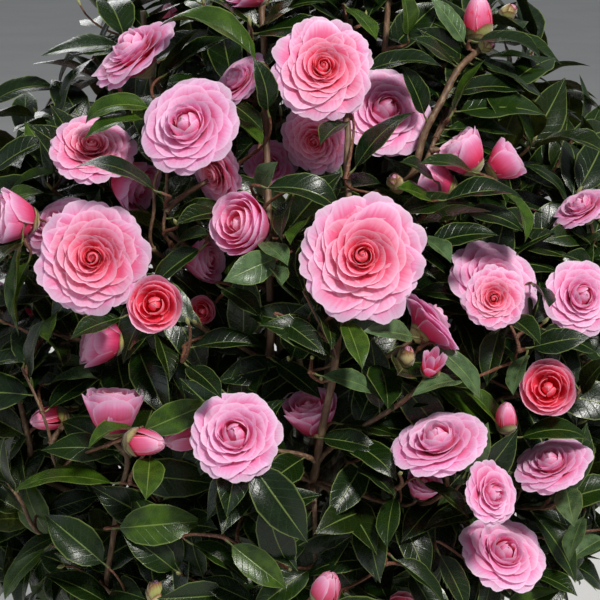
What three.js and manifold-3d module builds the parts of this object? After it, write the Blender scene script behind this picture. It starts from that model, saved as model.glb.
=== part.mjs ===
// A camellia shrub in full bloom, rooted in level ground. Millimetres, +Z up.
// The origin is the middle of the flat cut under the trunk, and the viewed side faces -Y.
// A flared trunk carries boughs all round it. Each bough ends where its mass of foliage begins:
// a stem that carries on from the bough, twigs, broad leaves and double pink flowers, fused in one solid.

import * as THREE from "three";
import Module from "manifold-3d";

const wasm = await Module();
wasm.setup();

// Driving dimensions
const GAP = 0.3; // clearance between separate pieces
const ROOM = 0.8; // clearance that others keep from a twig, stem, bough or flower
const FINEST = 0.004; // closest that two corners of one solid may lie
const INSET = 1; // how far a leaf stays inside its mass's own space
const GOLDEN_ANGLE = Math.PI * (3 - Math.sqrt(5));

// The crown fills an upright ellipsoid. Leaves may reach past its surface by a share of its size.
const CROWN = { radius: 345, middle: 478, halfHeight: 392, margin: 0.05, lowest: 45 };

const TRUNK = {
  line: [
    [0, 0, 0],
    [5, -4, 120],
    [-7, 6, 280],
    [-16, 4, 430],
  ],
  height: 430,
  footRadius: 14.5,
  tipRadius: 6.5,
  flare: { radius: 11, height: 26, lobes: 5, lobeDepth: 0.5 },
  sides: 10,
  rings: 10,
  crowding: 1.7, // how much closer its rings lie towards the foot
};
const BOUGH = { rootRadius: 6.4, tipRadius: 4.2, sides: 5, rings: 5, sunk: 3, rise: 0.75, bend: 0.38 };
const STEM = { rootRadius: 4.1, tipRadius: 2.8, sides: 5, rings: 5, rise: 0.25, bend: 0.36 };
const TWIG = { rootRadius: 2.3, tipRadius: 1.7, sides: 3, rings: 3, rootBend: 0.3, tipBend: 0.35 };

// Where twigs may leave a stem, as shares of its length, and how steeply they would rather rise than drop.
const TIES = { places: 36, last: 0.97, rise: 0.45, weight: 1.6 };

const LEAF = { length: 98, width: 52, thickness: 2.8, waist: 0.42, fold: 5, droop: 0.2 };
const LEAF_LEAN = THREE.MathUtils.degToRad(56); // between a leaf and its twig
const LEAF_TURNS = [0, 0.3, -0.3]; // radians off the middle of a twig's side, tried in turn
const LEAF_RUN = { tip: 0.97, underFlower: 0.9, share: 0.62 }; // the stretch of a twig that bears leaves

// The masses of foliage, in tiers. Angles are in degrees round the trunk from +X, and -90 faces the viewer.
const TIERS = [
  {
    name: "top",
    angles: [-106, -74, -16, 48, 128, 204],
    middle: { radius: 165, height: 680 },
    foot: { radius: 92, height: 470 },
    head: { radius: 150, height: 800 },
    boughRoot: { lowest: 240, step: 22 },
  },
  {
    name: "side",
    angles: [-90, -47, -4, 42, 90, 136, 182, 227],
    middle: { radius: 265, height: 440 },
    foot: { radius: 150, height: 345 },
    head: { radius: 262, height: 580 },
    boughRoot: { lowest: 125, step: 13 },
  },
  {
    name: "skirt",
    angles: [-112, -62, 0, 60, 120, 180],
    middle: { radius: 200, height: 195 },
    foot: { radius: 86, height: 165 },
    head: { radius: 205, height: 250 },
    boughRoot: { lowest: 45, step: 12 },
  },
];
const ROOT_STRIDE = 5; // boughs next to each other root this many steps apart
const LEADER = { name: "leader", middle: [-10, 15, 725], head: [-26, 8, 812], bend: 120 };

// The viewed side: a plane through its centre, square to a sight line that looks down by tilt degrees.
const SIGHT = { centre: [0, -300, 600], distance: 1400, tilt: 14, halfFrame: 232, margin: 25, behind: 40 };
const SIGHT_SEARCH = { from: 0.8, to: 1.4, step: 1 }; // where a sight line may meet the crown, in distances

// Each stage of a flower, in widths: the radius that shows from in front, then the places along its axis of
// its back, its rings and its front.
const STAGES = {
  open: {
    showing: 0.46,
    sides: 9,
    back: -0.32,
    rings: [
      { at: -0.08, radius: 0.4 },
      { at: 0.04, radius: 0.5 },
    ],
    front: 0.12,
  },
  half: {
    showing: 0.46,
    sides: 6,
    back: -0.5,
    rings: [
      { at: -0.18, radius: 0.42 },
      { at: 0.22, radius: 0.5 },
    ],
    front: 0.12,
  },
  bud: {
    showing: 0.4,
    sides: 6,
    back: -0.75,
    rings: [
      { at: -0.15, radius: 0.5 },
      { at: 0.38, radius: 0.36 },
    ],
    front: 0.85,
  },
};

// The flowers of the viewed side: stage, width, place across and up the viewed plane, how far the middle lies
// inside the crown's surface, then the way it faces: degrees turned to the right of the viewer and lifted.
const VIEWED_FLOWERS = [
  ["open", 84, -129, 191, 25, -55, 40],
  ["open", 88, -86, 135, 12, -25, 20],
  ["open", 74, -160, 117, 40, 10, 50],
  ["open", 86, 18, 177, 8, 5, 14],
  ["open", 80, 65, 145, 72, 10, 25],
  ["open", 62, 12, 123, 74, -20, -10],
  ["half", 46, -48, 168, 72, -70, 30],
  ["open", 64, -65, 98, 72, -50, -10],
  ["half", 48, -127, 88, 112, -30, -20],
  ["open", 64, -189, 58, 62, -40, 50],
  ["open", 95, -160, 32, 12, -5, 15],
  ["half", 45, -112, -4, -6, 5, 15],
  ["half", 57, -44, 59, 30, -35, 20],
  ["open", 100, 48, 32, 0, 0, 16],
  ["open", 52, 150, 2, 5, 3, 14],
  ["open", 82, 150, 26, 66, 150, 40],
  ["open", 66, 102, -17, 62, 100, 40],
  ["half", 32, 102, -48, 18, 20, 60],
  ["open", 65, 216, 2, 12, 15, 20],
  ["open", 56, 217, 72, 35, -45, 45],
  ["half", 48, 191, -68, 22, -10, 20],
  ["open", 80, 106, -109, 12, -20, 55],
  ["open", 66, 194, -126, 20, -25, 55],
  ["open", 54, 148, -149, -12, 20, 25],
  ["open", 76, 158, -194, 30, -5, 50],
  ["open", 77, -49, -105, 8, 0, 22],
  ["half", 56, -144, -81, 38, -10, 75],
  ["bud", 25, -118, -110, 14, 60, 0],
  ["bud", 24, -195, -92, 50, -60, 0],
  ["half", 54, 12, -85, 82, -60, 40],
  ["bud", 28, -90, -105, 56, -60, -10],
  ["bud", 21, 159, -89, 28, -10, 75],
  ["half", 30, 95, -142, 56, 20, 40],
  ["bud", 28, 21, -221, 8, 25, 60],
  ["bud", 16, -111, -223, 20, 10, 80],
  ["bud", 31, 137, 219, 5, 0, 80],
  ["bud", 14, 161, 222, 20, 50, 40],
  ["bud", 10, 145, 196, 14, 50, 20],
  ["half", 48, 126, 117, 32, -50, 50],
  ["half", 38, 159, 107, 25, 60, 30],
  ["half", 40, 102, 91, 72, -60, -20],
  ["half", 50, -223, 63, 8, -60, -10],
  ["half", 50, -156, -28, 66, -60, -15],
  ["half", 42, -41, 240, 10, -40, 30],
  ["open", 48, -23, 104, 118, 0, 30],
  ["bud", 14, 82, -42, 42, 10, 60],
  ["half", 40, -73, 31, 92, -20, -20],
  ["half", 26, -75, -8, 90, -20, 10],
  ["bud", 14, 73, 91, 60, -20, 50],
];

// The rest of the crown is filled evenly: shoots that end on shells of the crown's own shape.
const OUTER_SHELL = { count: 132, inset: 50, leaves: 5, seed: 11 };
const INNER_SHELL = { count: 8, inset: 140, leaves: 2, seed: 57 };
const SHELL_FOOT = -0.86; // no shoots below this share of a shell's half height
const LIFT = { least: 0.35, spread: 0.5, inner: 0.6 }; // how far shoots turn up from straight out
const FLOWERING = { share: 0.68, lowest: -0.72, leaves: 2, viewedLeaves: 4 };
const FLOWER_WIDTHS = [
  ["open", 86],
  ["open", 78],
  ["open", 70],
  ["half", 50],
  ["bud", 26],
];
const SPACING = { betweenFlowers: 8, besideFlower: 14 };
const SEEDS = { lift: 0.3, stage: 0.6, twigSide: 7 }; // offsets that keep a shoot's draws apart

const UP = new THREE.Vector3(0, 0, 1);
const vector = ([x, y, z]) => new THREE.Vector3(x, y, z);
const along = (point, direction, distance) => point.clone().addScaledVector(direction, distance);

function polar(degrees, radius, height) {
  const angle = THREE.MathUtils.degToRad(degrees);
  return new THREE.Vector3(radius * Math.cos(angle), radius * Math.sin(angle), height);
}

// A number from 0 to 1 that looks random and depends only on its seed.
function chance(seed) {
  const wave = Math.sin(seed * 127.1) * 43758.5453;
  return wave - Math.floor(wave);
}

// Solids

function solidOf(points, faces) {
  return new wasm.Manifold(
    new wasm.Mesh({
      numProp: 3,
      vertProperties: new Float32Array(points.flatMap((point) => point.toArray())),
      triVerts: new Uint32Array(faces.flat()),
    }),
  );
}

// A closed solid through rings of points, anticlockwise as seen from the last ring's side.
// Each ring has as many points as the one before, or a multiple of that.
// Each end is closed flat, or drawn out to a point where one is given.
function loft(rings, first = null, last = null) {
  const points = rings.flat();
  const faces = [];
  let start = 0;
  for (let ring = 0; ring + 1 < rings.length; ring++) {
    const size = rings[ring].length;
    const next = start + size;
    const split = rings[ring + 1].length / size;
    for (let i = 0; i < size; i++) {
      const [a, b] = [start + i, start + ((i + 1) % size)];
      const facing = (k) => next + ((i * split + k) % (size * split));
      faces.push([a, b, facing(split)]);
      for (let k = split; k > 0; k--) faces.push([a, facing(k), facing(k - 1)]);
    }
    start = next;
  }
  const opening = rings[0].length;
  if (first) {
    points.push(first);
    for (let i = 0; i < opening; i++) faces.push([points.length - 1, (i + 1) % opening, i]);
  } else {
    for (let i = 1; i + 1 < opening; i++) faces.push([0, i + 1, i]);
  }
  const closing = rings.at(-1).length;
  if (last) {
    points.push(last);
    for (let i = 0; i < closing; i++) {
      faces.push([points.length - 1, start + i, start + ((i + 1) % closing)]);
    }
  } else {
    for (let i = 1; i + 1 < closing; i++) faces.push([start, start + i, start + i + 1]);
  }
  return solidOf(points, faces);
}

// A ring of points round a centre, square to an axis.
function ringAt(centre, axis, sides, radiusAt) {
  const turn = new THREE.Quaternion().setFromUnitVectors(UP, axis);
  return Array.from({ length: sides }, (_, i) => {
    const angle = (2 * Math.PI * i) / sides;
    const radius = radiusAt(angle, i);
    return new THREE.Vector3(radius * Math.cos(angle), radius * Math.sin(angle), 0)
      .applyQuaternion(turn)
      .add(centre);
  });
}

// The rings of a round limb that tapers along a curve.
function limbRings(curve, { rootRadius, tipRadius, sides, rings }, extra = 0) {
  return Array.from({ length: rings }, (_, i) => {
    const t = i / (rings - 1);
    const radius = THREE.MathUtils.lerp(rootRadius, tipRadius, t) + extra;
    return ringAt(curve.getPoint(t), curve.getTangent(t), sides, () => radius);
  });
}

function limb(curve, size, extra = 0) {
  return loft(limbRings(curve, size, extra));
}

// A point on the middle line of a limb's solid, which runs straight from ring to ring.
function middleOf(curve, { rings }, t) {
  const share = t * (rings - 1);
  const ring = Math.min(Math.floor(share), rings - 2);
  const [before, after] = [ring, ring + 1].map((i) => curve.getPoint(i / (rings - 1)));
  return before.lerp(after, share - ring);
}

// A leaf of eight faces: an oval outline drawn to a point at each end, folded along its midrib.
function leaf(root, direction, face) {
  const side = direction.clone().cross(face).normalize();
  const waist = along(root, direction, LEAF.length * LEAF.waist);
  const tip = along(root, direction, LEAF.length).addScaledVector(UP, -LEAF.length * LEAF.droop);
  const top = along(waist, face, LEAF.fold + LEAF.thickness / 2);
  const bottom = along(waist, face, LEAF.fold - LEAF.thickness / 2);
  const left = along(waist, side, -LEAF.width / 2);
  const right = along(waist, side, LEAF.width / 2);
  return {
    points: [root, tip, top, bottom, left, right],
    faces: [
      [0, 2, 4],
      [0, 5, 2],
      [1, 4, 2],
      [1, 2, 5],
      [0, 4, 3],
      [0, 3, 5],
      [1, 3, 4],
      [1, 5, 3],
    ],
  };
}

function flowerRings({ stage, width, middle, facing }) {
  const { sides, rings } = STAGES[stage];
  return rings.map(({ at, radius }) =>
    ringAt(along(middle, facing, at * width), facing, sides, () => radius * width),
  );
}

// The middle of a flower's back, where its stalk joins, and of its front.
function flowerEnds({ stage, width, middle, facing }) {
  const { back, front } = STAGES[stage];
  return [back, front].map((share) => along(middle, facing, share * width));
}

// The room that a flower takes up, with a clearance round it.
function flowerSpace(flower, clearance) {
  const roomy = { ...flower, width: flower.width + 2 * clearance };
  const [back, front] = flowerEnds(roomy);
  const stalk = ringAt(back, flower.facing, TWIG.sides, () => TWIG.tipRadius + clearance);
  return loft([stalk, ...flowerRings(roomy)], null, front);
}

// A twig, with its flower where it has one, in one solid.
function shootSolid(line, flower) {
  const twig = limbRings(line, TWIG);
  return flower ? loft([...twig, ...flowerRings(flower)], null, flowerEnds(flower)[1]) : loft(twig);
}

// The crown

const sight = (() => {
  const tilt = THREE.MathUtils.degToRad(SIGHT.tilt);
  return {
    centre: vector(SIGHT.centre),
    right: new THREE.Vector3(1, 0, 0),
    up: new THREE.Vector3(0, Math.sin(tilt), Math.cos(tilt)),
    forward: new THREE.Vector3(0, Math.cos(tilt), -Math.sin(tilt)),
  };
})();
const eye = along(sight.centre, sight.forward, -SIGHT.distance);

// How far a point lies from the crown's middle, where 1 is on a shell that is inset from its surface.
function shellShare(point, inset = 0) {
  return new THREE.Vector3(
    point.x / (CROWN.radius - inset),
    point.y / (CROWN.radius - inset),
    (point.z - CROWN.middle) / (CROWN.halfHeight - inset),
  ).length();
}

// The point where the sight line through a place on the viewed plane enters the crown, and goes on by inset.
function viewedPoint(across, up, inset) {
  const onPlane = along(along(sight.centre, sight.right, across), sight.up, up);
  const ray = onPlane.sub(eye).normalize();
  let nearest = { distance: SIGHT.distance, share: Infinity };
  const [from, to] = [SIGHT_SEARCH.from, SIGHT_SEARCH.to].map((share) => share * SIGHT.distance);
  for (let distance = from; distance < to; distance += SIGHT_SEARCH.step) {
    const share = shellShare(along(eye, ray, distance));
    if (share < nearest.share) nearest = { distance, share };
    if (share <= 1) break;
  }
  return along(eye, ray, nearest.distance + inset);
}

// Where a point shows on the viewed plane.
function seenAt(point) {
  const offset = point.clone().sub(eye);
  const depth = offset.dot(sight.forward);
  const scale = SIGHT.distance / depth;
  return { across: offset.dot(sight.right) * scale, up: offset.dot(sight.up) * scale, depth };
}

function facingOf(turn, lift) {
  const [a, b] = [turn, lift].map(THREE.MathUtils.degToRad);
  return new THREE.Vector3(Math.sin(a) * Math.cos(b), -Math.cos(a) * Math.cos(b), Math.sin(b));
}

const viewedFlowers = VIEWED_FLOWERS.map(([stage, width, across, up, inset, turn, lift]) => ({
  stage,
  width,
  middle: viewedPoint(across, up, inset),
  facing: facingOf(turn, lift),
}));

function inViewedFrame(point) {
  const seen = seenAt(point);
  const edge = SIGHT.halfFrame + SIGHT.margin;
  return point.y < SIGHT.behind && Math.abs(seen.across) < edge && Math.abs(seen.up) < edge;
}

// True where a point would stand between the viewer and a flower of the viewed side.
function hidesViewedFlower(point) {
  const seen = seenAt(point);
  return viewedFlowers.some(({ middle, width, stage }) => {
    const flower = seenAt(middle);
    const reach = STAGES[stage].showing * width;
    return (
      seen.depth < flower.depth &&
      Math.hypot(seen.across - flower.across, seen.up - flower.up) < reach
    );
  });
}

// Even places on a shell of the crown, with the way out of the crown at each.
function shellPlaces({ count, inset, seed }) {
  const places = [];
  for (let i = 0; i < count; i++) {
    const height = 1 - (2 * (i + 0.5)) / count;
    const angle = i * GOLDEN_ANGLE + seed;
    const radius = Math.sqrt(1 - height * height);
    const out = new THREE.Vector3(radius * Math.cos(angle), radius * Math.sin(angle), height);
    const point = new THREE.Vector3(
      out.x * (CROWN.radius - inset),
      out.y * (CROWN.radius - inset),
      CROWN.middle + out.z * (CROWN.halfHeight - inset),
    );
    if (height > SHELL_FOOT) places.push({ point, out, seed: seed + i });
  }
  return places;
}

// How much room is left between a flower of some width and its nearest neighbour.
function roomBetween(point, width, flowers) {
  return Math.min(
    ...flowers.map((other) => other.middle.distanceTo(point) - (other.width + width) / 2),
  );
}

// Every shoot of the crown: a flower or a spray of leaves at its tip.
function planShoots() {
  const shoots = viewedFlowers.map((flower) => ({ flower, leaves: FLOWERING.viewedLeaves }));
  for (const { point, out, seed } of shellPlaces(OUTER_SHELL)) {
    const flowers = shoots.filter((shoot) => shoot.flower).map((shoot) => shoot.flower);
    const lift = LIFT.least + LIFT.spread * chance(seed + SEEDS.lift);
    const facing = out.clone().addScaledVector(UP, lift).normalize();
    const [stage, width] = FLOWER_WIDTHS[Math.floor(FLOWER_WIDTHS.length * chance(seed + SEEDS.stage))];
    const flowering =
      !inViewedFrame(point) &&
      chance(seed) < FLOWERING.share &&
      out.z > FLOWERING.lowest &&
      roomBetween(point, width, flowers) > SPACING.betweenFlowers;
    if (flowering) {
      shoots.push({ flower: { stage, width, middle: point, facing }, leaves: FLOWERING.leaves });
    } else if (roomBetween(point, 0, flowers) > SPACING.besideFlower) {
      shoots.push({ tip: point, facing, leaves: OUTER_SHELL.leaves });
    }
  }
  for (const { point, out } of shellPlaces(INNER_SHELL)) {
    const facing = out.clone().addScaledVector(UP, LIFT.inner).normalize();
    shoots.push({ tip: point, facing, leaves: INNER_SHELL.leaves });
  }
  return shoots.map((shoot, i) => ({ ...shoot, seed: i + 0.5 }));
}

// The trunk and the boughs

const trunkLine = new THREE.CatmullRomCurve3(TRUNK.line.map(vector));

function trunkRadius(height) {
  return THREE.MathUtils.lerp(TRUNK.footRadius, TRUNK.tipRadius, height / TRUNK.height);
}

function trunkSolid(extra = 0) {
  const { radius: flareRadius, height: flareHeight, lobes, lobeDepth } = TRUNK.flare;
  return loft(
    Array.from({ length: TRUNK.rings }, (_, i) => {
      const t = (i / (TRUNK.rings - 1)) ** TRUNK.crowding;
      const centre = trunkLine.getPoint(t);
      const flare = flareRadius * Math.exp(-centre.z / flareHeight);
      const axis = i === 0 ? UP : trunkLine.getTangent(t);
      return ringAt(centre, axis, TRUNK.sides, (angle) => {
        const lobe = 1 - (lobeDepth * (1 - Math.cos(lobes * angle))) / 2;
        return trunkRadius(centre.z) + flare * lobe + extra;
      });
    }),
  );
}

function massesOf() {
  const masses = [];
  for (const tier of TIERS) {
    tier.angles.forEach((angle, i) => {
      const foot = polar(angle, tier.foot.radius, tier.foot.height);
      const head = polar(angle, tier.head.radius, tier.head.height);
      const { lowest, step } = tier.boughRoot;
      const rootHeight = lowest + step * ((i * ROOT_STRIDE) % tier.angles.length);
      masses.push({
        name: `${tier.name}_${i + 1}`,
        middle: polar(angle, tier.middle.radius, tier.middle.height),
        line: stemLine(foot, head),
        bough: boughLine(foot, angle, rootHeight, head),
      });
    });
  }
  const foot = along(trunkLine.getPoint(1), trunkLine.getTangent(1), GAP);
  const head = vector(LEADER.head);
  const line = new THREE.CubicBezierCurve3(
    foot,
    along(foot, trunkLine.getTangent(1), LEADER.bend),
    along(head, UP, -LEADER.bend),
    head,
  );
  masses.push({ name: LEADER.name, middle: vector(LEADER.middle), line });
  return masses;
}

// A mass's stem: it leaves its foot outward, and turns upright towards its head.
function stemLine(foot, head) {
  const reach = head.distanceTo(foot) * STEM.bend;
  const leaving = footDirection(foot, head);
  return new THREE.CubicBezierCurve3(
    foot,
    along(foot, leaving, reach),
    along(head, head.clone().sub(foot).normalize().add(UP).normalize(), -reach),
    head,
  );
}

function footDirection(foot, head) {
  return head.clone().sub(foot).normalize().addScaledVector(UP, STEM.rise).normalize();
}

// A bough: from inside the trunk outward and up, to 0.3 mm short of its mass's foot.
function boughLine(foot, angle, rootHeight, head) {
  const share = rootHeight / TRUNK.height;
  const out = polar(angle, 1, 0);
  const leaving = out.clone().addScaledVector(UP, BOUGH.rise).normalize();
  const root = along(trunkLine.getPoint(share), out, trunkRadius(rootHeight) - BOUGH.sunk);
  const ending = footDirection(foot, head);
  const end = along(foot, ending, -GAP);
  const reach = end.distanceTo(root) * BOUGH.bend;
  return new THREE.CubicBezierCurve3(
    root,
    along(root, leaving, reach),
    along(end, ending, -reach),
    end,
  );
}

// The foliage

// Points on a stem that a twig to a target could leave from, the best first.
function attachments(line, target) {
  const found = [];
  for (let i = 1; i <= TIES.places; i++) {
    const t = (TIES.last * i) / TIES.places;
    const point = middleOf(line, STEM, t);
    const level = Math.hypot(target.x - point.x, target.y - point.y);
    const tooHigh = Math.max(0, point.z + TIES.rise * level - target.z);
    found.push({ point, t, cost: point.distanceTo(target) + TIES.weight * tooHigh });
  }
  return found.sort((a, b) => a.cost - b.cost);
}

// A twig that leaves its stem at a slant and ends heading the way its flower or spray faces.
function twigLine(line, { point, t }, end, facing) {
  const reach = point.distanceTo(end);
  const leaving = end.clone().sub(point).normalize().add(line.getTangent(t)).normalize();
  return new THREE.CubicBezierCurve3(
    point,
    along(point, leaving, reach * TWIG.rootBend),
    along(end, facing, -reach * TWIG.tipBend),
    end,
  );
}

// A leaf at a place along a twig, turned round it by an angle.
function leafOn(line, t, angle) {
  const tangent = line.getTangent(t);
  const side = new THREE.Vector3(Math.cos(angle), Math.sin(angle), 0).applyQuaternion(
    new THREE.Quaternion().setFromUnitVectors(UP, tangent),
  );
  const direction = side
    .multiplyScalar(Math.sin(LEAF_LEAN))
    .addScaledVector(tangent, Math.cos(LEAF_LEAN));
  const face = tangent.clone().addScaledVector(direction, -tangent.dot(direction)).normalize();
  return leaf(middleOf(line, TWIG, t), direction, face);
}

// The turns round a twig that its i-th leaf tries: out of the middle of its own side and a little off it,
// then the same on the next side, and the next.
function turnsOf(i, seed) {
  const first = i + Math.floor(TWIG.sides * chance(seed + SEEDS.twigSide));
  return Array.from({ length: TWIG.sides }, (_, k) => first + k + 0.5).flatMap((side) =>
    LEAF_TURNS.map((off) => (side * 2 * Math.PI) / TWIG.sides + off),
  );
}

function boxesMeet(a, b) {
  return [0, 1, 2].every((k) => a.min[k] <= b.max[k] && b.min[k] <= a.max[k]);
}

// The room that a solid takes up, with its box for quick tests.
function roomOf(solid) {
  return { solid, box: solid.boundingBox() };
}

function touches(solid, rooms) {
  const box = solid.boundingBox();
  return rooms.some((room) => boxesMeet(box, room.box) && !solid.intersect(room.solid).isEmpty());
}

function inOwnSpace(point, mass, masses) {
  const own = point.distanceTo(mass.middle);
  return masses.every((other) => {
    if (other === mass) return true;
    const apart = mass.middle.distanceTo(other.middle);
    return (point.distanceTo(other.middle) ** 2 - own ** 2) / (2 * apart) > INSET;
  });
}

function nearestMass(point, masses) {
  return masses.reduce((a, b) =>
    b.middle.distanceTo(point) < a.middle.distanceTo(point) ? b : a,
  );
}

// True where two corners of a solid all but meet.
function isPinched(solid) {
  const { vertProperties } = solid.getMesh();
  const corners = Array.from({ length: vertProperties.length / 3 }, (_, i) =>
    vector(vertProperties.subarray(3 * i, 3 * i + 3)),
  ).sort((a, b) => a.x - b.x);
  return corners.some((corner, i) => {
    for (let k = i + 1; k < corners.length && corners[k].x - corner.x < FINEST; k++) {
      if (corners[k].distanceTo(corner) < FINEST) return true;
    }
    return false;
  });
}

// Fuses a piece to its mass, unless edges of the two only just cross and would leave a pinched corner.
function fuseTo(mass, piece) {
  const fused = mass.body.add(piece);
  if (isPinched(fused)) return false;
  mass.body = fused;
  return true;
}

// One closed body: loose scraps are dropped and sealed hollows are filled.
function wholeOf(solid) {
  return solid.decompose().reduce((a, b) => (b.volume() > a.volume() ? b : a));
}

// Grows a shoot's twig, with its flower, where it is clear of the given rooms. Gives the twig's line.
function growTwig({ flower, tip, facing, mass }, rooms) {
  const heading = flower ? flower.facing : facing;
  const end = flower ? flowerEnds(flower)[0] : tip;
  for (const place of attachments(mass.line, end)) {
    const line = twigLine(mass.line, place, end, heading);
    if (touches(limb(line, TWIG, ROOM), rooms)) continue;
    if (fuseTo(mass, shootSolid(line, flower))) return line;
  }
  return null;
}

// Gives every shoot its mass and its twig. A twig keeps clear of its own mass's other twigs where it can,
// and of all else always. A shoot with no clear way to its stem is skipped.
function growShoots(masses, limbs) {
  const stems = masses.map((mass) => ({ mass, ...roomOf(limb(mass.line, STEM, ROOM)) }));
  const shoots = planShoots().map((shoot) => ({
    ...shoot,
    mass: nearestMass(shoot.flower ? shoot.flower.middle : shoot.tip, masses),
    flowerRoom: shoot.flower && roomOf(flowerSpace(shoot.flower, ROOM)),
  }));
  const flowers = shoots.filter((shoot) => shoot.flower).map((shoot) => shoot.flowerRoom);
  const twigs = [];
  const grown = [];
  for (const shoot of shoots) {
    const { mass, flowerRoom } = shoot;
    const always = [
      ...limbs,
      ...stems.filter((stem) => stem.mass !== mass),
      ...flowers.filter((other) => other !== flowerRoom),
      ...twigs.filter((twig) => twig.mass !== mass),
    ];
    const line = growTwig(shoot, [...always, ...twigs]) ?? growTwig(shoot, always);
    if (!line) continue;
    const twigRoom = { mass, ...roomOf(limb(line, TWIG, ROOM)) };
    twigs.push(twigRoom);
    grown.push({ ...shoot, line, twigRoom });
  }
  return { grown, rooms: [...limbs, ...stems, ...flowers, ...twigs] };
}

function leafPointFits(point, mass, masses) {
  return (
    inOwnSpace(point, mass, masses) &&
    shellShare(point) < 1 + CROWN.margin &&
    point.z > CROWN.lowest &&
    !hidesViewedFlower(point)
  );
}

// Leaves along each shoot's twig. A leaf turns round its twig until it fits, and is skipped if it never does.
function growLeaves(grown, rooms, masses) {
  const taken = [...rooms];
  for (const { mass, line, twigRoom, leaves, seed, flower } of grown) {
    const others = () => taken.filter((room) => room !== twigRoom);
    for (let i = 0; i < leaves; i++) {
      const t = (flower ? LEAF_RUN.underFlower : LEAF_RUN.tip) - (LEAF_RUN.share * i) / leaves;
      for (const angle of turnsOf(i, seed)) {
        const { points, faces } = leafOn(line, t, angle);
        if (!points.every((point) => leafPointFits(point, mass, masses))) continue;
        const solid = solidOf(points, faces);
        if (touches(solid, others()) || !fuseTo(mass, solid)) continue;
        taken.push(roomOf(solid));
        break;
      }
    }
  }
}

// The model

const MATERIALS = {
  bark: new THREE.MeshStandardMaterial({ color: 0x6b5140, roughness: 0.85, metalness: 0 }),
  foliage: new THREE.MeshStandardMaterial({ color: 0x1f4a22, roughness: 0.35, metalness: 0 }),
};

function meshOf(name, solid, material, origin) {
  const { vertProperties, triVerts } = solid.getMesh();
  const geometry = new THREE.BufferGeometry()
    .setAttribute("position", new THREE.BufferAttribute(vertProperties, 3))
    .setIndex(new THREE.BufferAttribute(triVerts, 1))
    .translate(-origin.x, -origin.y, -origin.z);
  geometry.computeVertexNormals();
  const mesh = new THREE.Mesh(geometry, material);
  mesh.name = name;
  mesh.position.copy(origin);
  return mesh;
}

function buildShrub() {
  const shrub = new THREE.Group();
  const masses = massesOf();
  shrub.add(meshOf("trunk", trunkSolid(), MATERIALS.bark, new THREE.Vector3()));

  const limbs = [roomOf(trunkSolid(ROOM))];
  const trunkRoom = trunkSolid(GAP);
  for (const { name, bough } of masses) {
    if (!bough) continue;
    const solid = wholeOf(limb(bough, BOUGH).subtract(trunkRoom));
    limbs.push(roomOf(limb(bough, BOUGH, ROOM)));
    shrub.add(meshOf(`bough_${name}`, solid, MATERIALS.bark, bough.getPoint(1)));
  }

  for (const mass of masses) mass.body = limb(mass.line, STEM);
  const { grown, rooms } = growShoots(masses, limbs);
  growLeaves(grown, rooms, masses);
  for (const { name, body, line } of masses) {
    shrub.add(meshOf(`foliage_${name}`, wholeOf(body), MATERIALS.foliage, line.getPoint(0)));
  }
  return shrub;
}

const shrub = buildShrub();

export default shrub;
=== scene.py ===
# A camellia shrub in full bloom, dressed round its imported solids: bark, twigs, leaves, flowers and buds.
# The shrub grows by the rule that made the solids, and is carried on to finer twigs.
# Lengths are in millimetres until a mesh is made. +Z is up, and the viewed side faces -Y.

import math
from types import SimpleNamespace as Sizes

import bpy
import numpy as np
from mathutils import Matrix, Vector, noise


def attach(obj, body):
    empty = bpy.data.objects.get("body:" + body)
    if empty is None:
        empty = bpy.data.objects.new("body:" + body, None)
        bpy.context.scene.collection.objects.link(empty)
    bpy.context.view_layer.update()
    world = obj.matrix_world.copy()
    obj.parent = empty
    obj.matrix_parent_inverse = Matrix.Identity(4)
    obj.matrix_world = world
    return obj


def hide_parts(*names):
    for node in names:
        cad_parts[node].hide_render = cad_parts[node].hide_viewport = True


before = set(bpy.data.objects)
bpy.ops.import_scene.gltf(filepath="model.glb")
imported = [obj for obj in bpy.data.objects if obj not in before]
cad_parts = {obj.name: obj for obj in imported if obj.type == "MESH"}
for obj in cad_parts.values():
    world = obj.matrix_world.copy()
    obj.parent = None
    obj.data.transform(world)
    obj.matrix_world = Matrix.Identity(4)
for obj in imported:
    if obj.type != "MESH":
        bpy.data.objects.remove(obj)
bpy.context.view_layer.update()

MILLIMETRE = 0.001
UP = np.array([0.0, 0.0, 1.0])
# Not quite up, so that an upright twig has a side too.
NEARLY_UP = np.array([0.01, 0.0, 1.0])
GOLDEN_ANGLE = math.pi * (3 - math.sqrt(5))
FULL_TURN = 2 * math.pi
TINY = 1e-9

# The crown fills an upright ellipsoid. Leaves may reach past its surface by a share of its size.
CROWN = Sizes(radius=345, middle=np.array([0, 0, 478]), half_height=392, margin=0.05, lowest=45)

TRUNK = Sizes(
    line=[[0, 0, 0], [5, -4, 120], [-7, 6, 280], [-16, 4, 430]],
    height=430,
    foot_radius=14.5,
    tip_radius=6.5,
    flare_radius=11,
    flare_height=26,
    lobes=5,
    lobe_depth=0.5,
)
BOUGH = Sizes(root_radius=6.4, tip_radius=4.2, sunk=3, rise=0.75, bend=0.38)
STEM = Sizes(root_radius=4.1, tip_radius=2.4, rise=0.25, bend=0.36)
TWIG = Sizes(root_radius=2.3, tip_radius=1.7)
FINE_TWIG = Sizes(root_radius=1.5, tip_radius=1.0)
TWIG_BEND = Sizes(root=0.3, tip=0.35)

# How steeply twigs would rather rise than drop, and where others may leave each kind of wood: how far along
# it and in how many places.
TIES = Sizes(
    rise=0.45,
    weight=1.6,
    mass=(0.97, 36),
    stem=(0.95, 16),
    twig=(0.7, 8),
    fine_twig=(0.6, 4),
    leaf_twig=(0.9, 6),
)
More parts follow.
